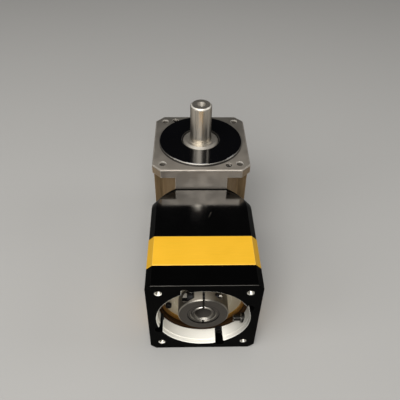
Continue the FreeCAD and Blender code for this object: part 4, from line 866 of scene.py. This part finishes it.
class REDUCER_OT_hub(bpy.types.Operator):
    """Gives the clamp collar and the input cover their turned finishes"""

    bl_idname = "reducer.hub"
    bl_label = "Clamp hub and input cover"

    def execute(self, context):
        tints = context.scene.reducer_finishes
        dress(clamp_steel("turned_clamp", tints), "clamp_collar", "input_shaft", "shaft_bushing")
        cover = turned_metal("turned_cover", "input", tints.cover, tints.aluminium, 0.45, 0.5, 0.6)
        dress(cover, "input_cover")
        return {"FINISHED"}


class REDUCER_OT_train(bpy.types.Operator):
    """Gives the gears, carrier, bearings and bushes their finishes"""

    bl_idname = "reducer.train"
    bl_label = "Gears and bearings"

    def execute(self, context):
        tints = context.scene.reducer_finishes
        for axis, names in (("output", ("upper", "lower")), ("input", ("front", "rear", "input"))):
            steel = turned_metal(f"bearing_steel_{axis}", axis, tints.bearing, tints.bearing, 0.14, 0.4)
            for name in names:
                rolling = "balls" if name == "input" else "rollers"
                dress(steel, *[f"{name}_bearing_{part}" for part in ("outer", "inner", rolling)])
        planets = (1, 2, 3)
        gear = ground_metal("hardened_gear_steel", tints.gear, tints.steel_edge, 0.32)
        dress(gear, "crown_gear", "pinion_shaft", "planet_carrier", "ring_gear")
        dress(gear, *[f"planet_gear_{number}" for number in planets])
        bronze = turned_metal("turned_bronze", "input", tints.bronze, tints.bronze, 0.3, 0.4)
        dress(bronze, *[f"planet_bush_{number}" for number in planets])
        oxide = soft_black("black_oxide_inside", tints.oxide, 0.45, 0.2)
        dress(oxide, "carrier_screw", "carrier_plate_screws", "housing_screws")
        return {"FINISHED"}


class REDUCER_OT_cap_screws(bpy.types.Operator):
    """Makes the cap screws with rounded, knurled heads and hexagon sockets"""

    bl_idname = "reducer.cap_screws"
    bl_label = "Cap screws"

    def execute(self, context):
        oxide = soft_black("black_oxide", context.scene.reducer_finishes.oxide, 0.42, 0.25, 0.12)

        def make_set(name, node, screw, turn, places, body="housing"):
            """Like screws at their places, which stand for a CAD node."""
            grid = screw_grid(screw, context.scene.reducer_details)
            grids = [placed(grid, turn, place) for place in places]
            make_piece(name, grids, oxide, body, "black_screw", node)

        low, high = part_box("tie_screws")
        screw = CapScrew(2, 3.44, 4, (high.y - low.y) / MM - 4, 1.9)
        places = [on_input(x, y, -low.y - screw.rise * MM) for x, y in circle_places(*TIE_CIRCLE)]
        make_set("tie_screw_set", "tie_screws", screw, INPUT_LINE, places)

        low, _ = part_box("input_cover_screws")
        screw = CapScrew(1.5, 2.58, 3, 9, 1.42)
        places = [on_input(x, y, -low.y - screw.rise * MM) for x, y in circle_places(*COVER_CIRCLE)]
        make_set("input_cover_screw_set", "input_cover_screws", screw, INPUT_LINE, places)

        low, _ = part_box("bottom_cover_screws")
        screw = CapScrew(2, 3.44, 3, 12, 1.9)
        places = [(x, y, low.z + screw.rise * MM) for x, y in circle_places(*BOTTOM_CIRCLE)]
        make_set("bottom_screw_set", "bottom_cover_screws", screw, UPSIDE_DOWN, places)

        low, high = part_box("clamp_screw")
        screw = CapScrew(2.5, 4.3, 5, 21, 2.37)
        place = (low.x + screw.rise * MM, (low.y + high.y) / 2, (low.z + high.z) / 2)
        make_set("clamp_cap_screw", "clamp_screw", screw, TOWARDS_LEFT, [place], "input")
        return {"FINISHED"}


class REDUCER_OT_set_screws(bpy.types.Operator):
    """Makes the two set screws in the flange"""

    bl_idname = "reducer.set_screws"
    bl_label = "Set screws"

    def execute(self, context):
        tints = context.scene.reducer_finishes
        steel = turned_metal("bright_set_screw", "output", tints.set_screw, tints.steel_edge, 0.35, 0.5)
        low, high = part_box("jack_screws")
        angles = np.linspace(0, TURN, 96, endpoint=False)
        # A profile of radii and heights in mm, carried round: a hexagon's radius in the socket
        radius, length, wall = 3, (high.z - low.z) / MM, hexagon(angles, 1.75)
        rows = [(0.0, -3.4), (wall, -3.0), (wall, -0.2), (wall + 0.2, 0.0), (radius - 0.5, 0.0)]
        rows += [(radius, -0.5), (radius, -length + 1), (radius - 1, -length), (0.0, -length)]
        screw = spun_grid(rows, angles) * MM
        grids = [placed(screw, UPRIGHT, (x, y, high.z)) for x, y in circle_places(*JACK_CIRCLE)]
        make_piece("flange_set_screws", grids, steel, "housing", "black_screw", "jack_screws")
        return {"FINISHED"}


class REDUCER_OT_threads(bpy.types.Operator):
    """Makes the threads in the motor plate's four tapped holes"""

    bl_idname = "reducer.threads"
    bl_label = "Threads in the motor holes"

    def execute(self, context):
        tints, details = context.scene.reducer_finishes, context.scene.reducer_details
        bare = turned_metal("bare_thread", "input", tints.thread, tints.aluminium, 0.3, 0.4)
        radius = MOUNTS["motor_bolts"]["dims"]["hole_r_mm"] * MM - 0.02 * MM
        angles = np.linspace(0, TURN, 48, endpoint=False)
        start = 0.9 * MM
        heights = np.arange(start, start + details.thread_length, details.thread_pitch / 8)
        turns = heights[:, None] / details.thread_pitch - angles[None, :] / TURN
        # The ridge rises and falls evenly once per pitch, and climbs one pitch per turn
        ridge = details.thread_depth * (1 - np.abs(2 * (turns % 1) - 1))
        inner = [(radius - 0.04 * MM - row, -height) for row, height in zip(ridge, heights)]
        outer = [(radius, -heights[0]), (radius, -heights[-1])]
        tube = spun_grid([outer[0], *inner, outer[1], outer[0]], angles)
        shift = bolt_shift("motor_bolts")
        corners = [on_input(x, y, -MOTOR_FACE) for x in (shift, -shift) for y in (shift, -shift)]
        grids = [placed(tube, INPUT_LINE, corner) for corner in corners]
        make_piece("motor_hole_threads", grids, bare, "housing", "bare_aluminium")
        return {"FINISHED"}


class REDUCER_OT_plugs(bpy.types.Operator):
    """Makes the two plugs in the motor plate's side holes"""

    bl_idname = "reducer.plugs"
    bl_label = "Side plugs"

    def execute(self, context):
        tints = context.scene.reducer_finishes
        steel = turned_metal("dark_plug_steel", "input", tints.plug, tints.steel_edge, 0.4, 0.5)
        low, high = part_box("access_plugs")
        angles = np.linspace(0, TURN, 96, endpoint=False)
        # A profile of radii and distances from the middle in mm, carried round: a hexagon in the socket
        tip, shoulder, end = 26, 32.5, high.x / MM
        stem, head, wall = 2.6, 4.58, hexagon(angles, 2.0)
        rows = [(0.0, tip), (stem - 0.4, tip), (stem, tip + 0.4), (stem, shoulder), (head - 0.5, shoulder)]
        rows += [(head, shoulder + 0.5), (head, end - 0.4), (head - 0.4, end), (wall + 0.2, end)]
        rows += [(wall, end - 0.2), (wall, end - 4), (0.0, end - 4.6)]
        plug = spun_grid(rows, angles) * MM
        middle, off_axis = (low.y + high.y) / 2, 16 * MM
        grids = []
        for side in (1, -1):
            outwards = np.array([[0, 0, side], [0, 1, 0], [-side, 0, 0]], float)
            grids.append(placed(plug, outwards, (0, middle, AXIS_Z - side * off_axis)))
        make_piece("side_plugs", grids, steel, "housing", "bare_steel", "access_plugs")
        return {"FINISHED"}


def stand(thing, side, up, ahead, place):
    """Turns a lamp or camera so that it looks ahead, and moves it to a place."""
    matrix = np.eye(4)
    matrix[:3, 0], matrix[:3, 1], matrix[:3, 2], matrix[:3, 3] = side, up, -np.asarray(ahead), place
    thing.matrix_world = mathutils.Matrix(matrix)


def area_lamp(name, power, size, place, target):
    """A square soft lamp that faces a target."""
    lamp = bpy.data.lights.new(name, "AREA")
    lamp.energy = power
    lamp.size = size
    thing = bpy.data.objects.new(name, lamp)
    bpy.context.scene.collection.objects.link(thing)
    ahead = np.asarray(target, float) - np.asarray(place, float)
    ahead /= np.linalg.norm(ahead)
    side = np.cross(ahead, (0.0, 1.0, 0.0) if abs(ahead[2]) > 0.9 else UP)
    side /= np.linalg.norm(side)
    stand(thing, side, np.cross(side, ahead), ahead, place)


class REDUCER_OT_stage(bpy.types.Operator):
    """Makes the floor, the lamps, the surroundings and the camera"""

    bl_idname = "reducer.stage"
    bl_label = "Studio stage"

    def execute(self, context):
        settings = context.scene.reducer_stage
        self.make_floor(settings)
        # The overhead lamp ends short of the direction that the polished black tops mirror to the camera
        area_lamp("key_lamp", settings.key_power, 2.0, (0, -0.1, 1.7), (0, -0.1, 0))
        area_lamp("front_lamp", settings.front_power, 1.6, (-0.35, -1.45, 1.42), (0, -0.1, -0.05))
        # The side lamps light the flange's cut corners and leave most of the motor bore dark
        area_lamp("left_lamp", settings.left_power, 0.9, (-1.48, -0.75, 1.0), (0, -0.05, -0.05))
        area_lamp("right_lamp", settings.right_power, 0.6, (1.6, -0.05, 1.0), (0, -0.05, -0.05))
        self.make_world(context, settings)
        context.scene.view_settings.view_transform = "Standard"
        self.make_camera(context, settings)
        return {"FINISHED"}

    def make_floor(self, settings):
        """A level square under the part, faintly mottled."""
        material, add, place, _ = new_material("studio_floor")
        tone = add("TexNoise", place, Scale=per_mm(400.0))
        painted = layered(add, scaled(settings.floor, 0.97), (tone, settings.floor))
        finished(material, Base_Color=painted, Roughness=0.8)
        corners = [(-1, -1), (1, -1), (1, 1), (-1, 1)]
        mesh = bpy.data.meshes.new("floor")
        points = [(x * HALF_FLOOR, y * HALF_FLOOR, FLOOR_Z - FLOOR_GAP) for x, y in corners]
        mesh.from_pydata(points, [], [(0, 1, 2, 3)])
        mesh.materials.append(material)
        floor = bpy.data.objects.new("floor", mesh)
        bpy.context.scene.collection.objects.link(floor)

    def make_world(self, context, settings):
        """Plain light from all round, with a pale backdrop for the camera."""
        world = bpy.data.worlds.new("studio")
        world.use_nodes = True
        world.node_tree.nodes.clear()
        add = functools.partial(add_node, world.node_tree)
        seen = add("LightPath").node.outputs["Is Camera Ray"]
        add("OutputWorld", add("Background", layered(add, settings.world, (seen, settings.backdrop))))
        context.scene.world = world

    def make_camera(self, context, settings):
        """A camera that looks ahead and down, rolled about its view and then swung about the upright."""
        pitch, yaw, roll = np.radians(CAMERA_TURN)
        ahead = np.array([0, math.cos(pitch), -math.sin(pitch)])
        up = np.array([0, math.sin(pitch), math.cos(pitch)])
        right = np.array([1.0, 0, 0])
        cos, sin = math.cos(roll), math.sin(roll)
        right, up = cos * right + sin * up, cos * up - sin * right
        cos, sin = math.cos(yaw), math.sin(yaw)
        swing = np.array([[cos, sin, 0], [-sin, cos, 0], [0, 0, 1]])
        lens = bpy.data.cameras.new("camera")
        lens.sensor_fit = "HORIZONTAL"
        lens.sensor_width = SENSOR
        lens.lens = settings.lens
        camera = bpy.data.objects.new("camera", lens)
        context.scene.collection.objects.link(camera)
        stand(camera, swing @ right, swing @ up, swing @ ahead, np.array(CAMERA_PLACE) * MM)
        context.scene.camera = camera


OPERATORS = (
    REDUCER_OT_stage, REDUCER_OT_housing, REDUCER_OT_disc, REDUCER_OT_shafts,
    REDUCER_OT_block, REDUCER_OT_band, REDUCER_OT_hub, REDUCER_OT_train,
    REDUCER_OT_cap_screws, REDUCER_OT_set_screws, REDUCER_OT_threads, REDUCER_OT_plugs,
)
GROUPS = {
    "reducer_finishes": ReducerFinishes,
    "reducer_details": ReducerDetails,
    "reducer_stage": ReducerStage,
}


class REDUCER_PT_panel(bpy.types.Panel):
    """Lists the reducer's settings and steps"""

    bl_idname = "REDUCER_PT_panel"
    bl_label = "Reducer"
    bl_space_type = "VIEW_3D"
    bl_region_type = "UI"
    bl_category = "Reducer"

    def draw(self, context):
        for group, kind in GROUPS.items():
            box = self.layout.box()
            box.label(text=kind.__doc__.rstrip("."))
            for name in kind.__annotations__:
                box.prop(getattr(context.scene, group), name)
        for operator in OPERATORS:
            self.layout.operator(operator.bl_idname)


CLASSES = (*GROUPS.values(), *OPERATORS, REDUCER_PT_panel)


def register():
    """Registers the classes and hangs the settings on the scene."""
    for item in CLASSES:
        bpy.utils.register_class(item)
    for name, kind in GROUPS.items():
        setattr(bpy.types.Scene, name, bpy.props.PointerProperty(type=kind))


def unregister():
    """Takes the settings and classes away again."""
    for name in GROUPS:
        delattr(bpy.types.Scene, name)
    for item in reversed(CLASSES):
        bpy.utils.unregister_class(item)


def main():
    """Registers the classes and runs every step in order."""
    register()
    for operator in OPERATORS:
        group, name = operator.bl_idname.split(".")
        getattr(getattr(bpy.ops, group), name)()


if __name__ == "__main__":
    main()
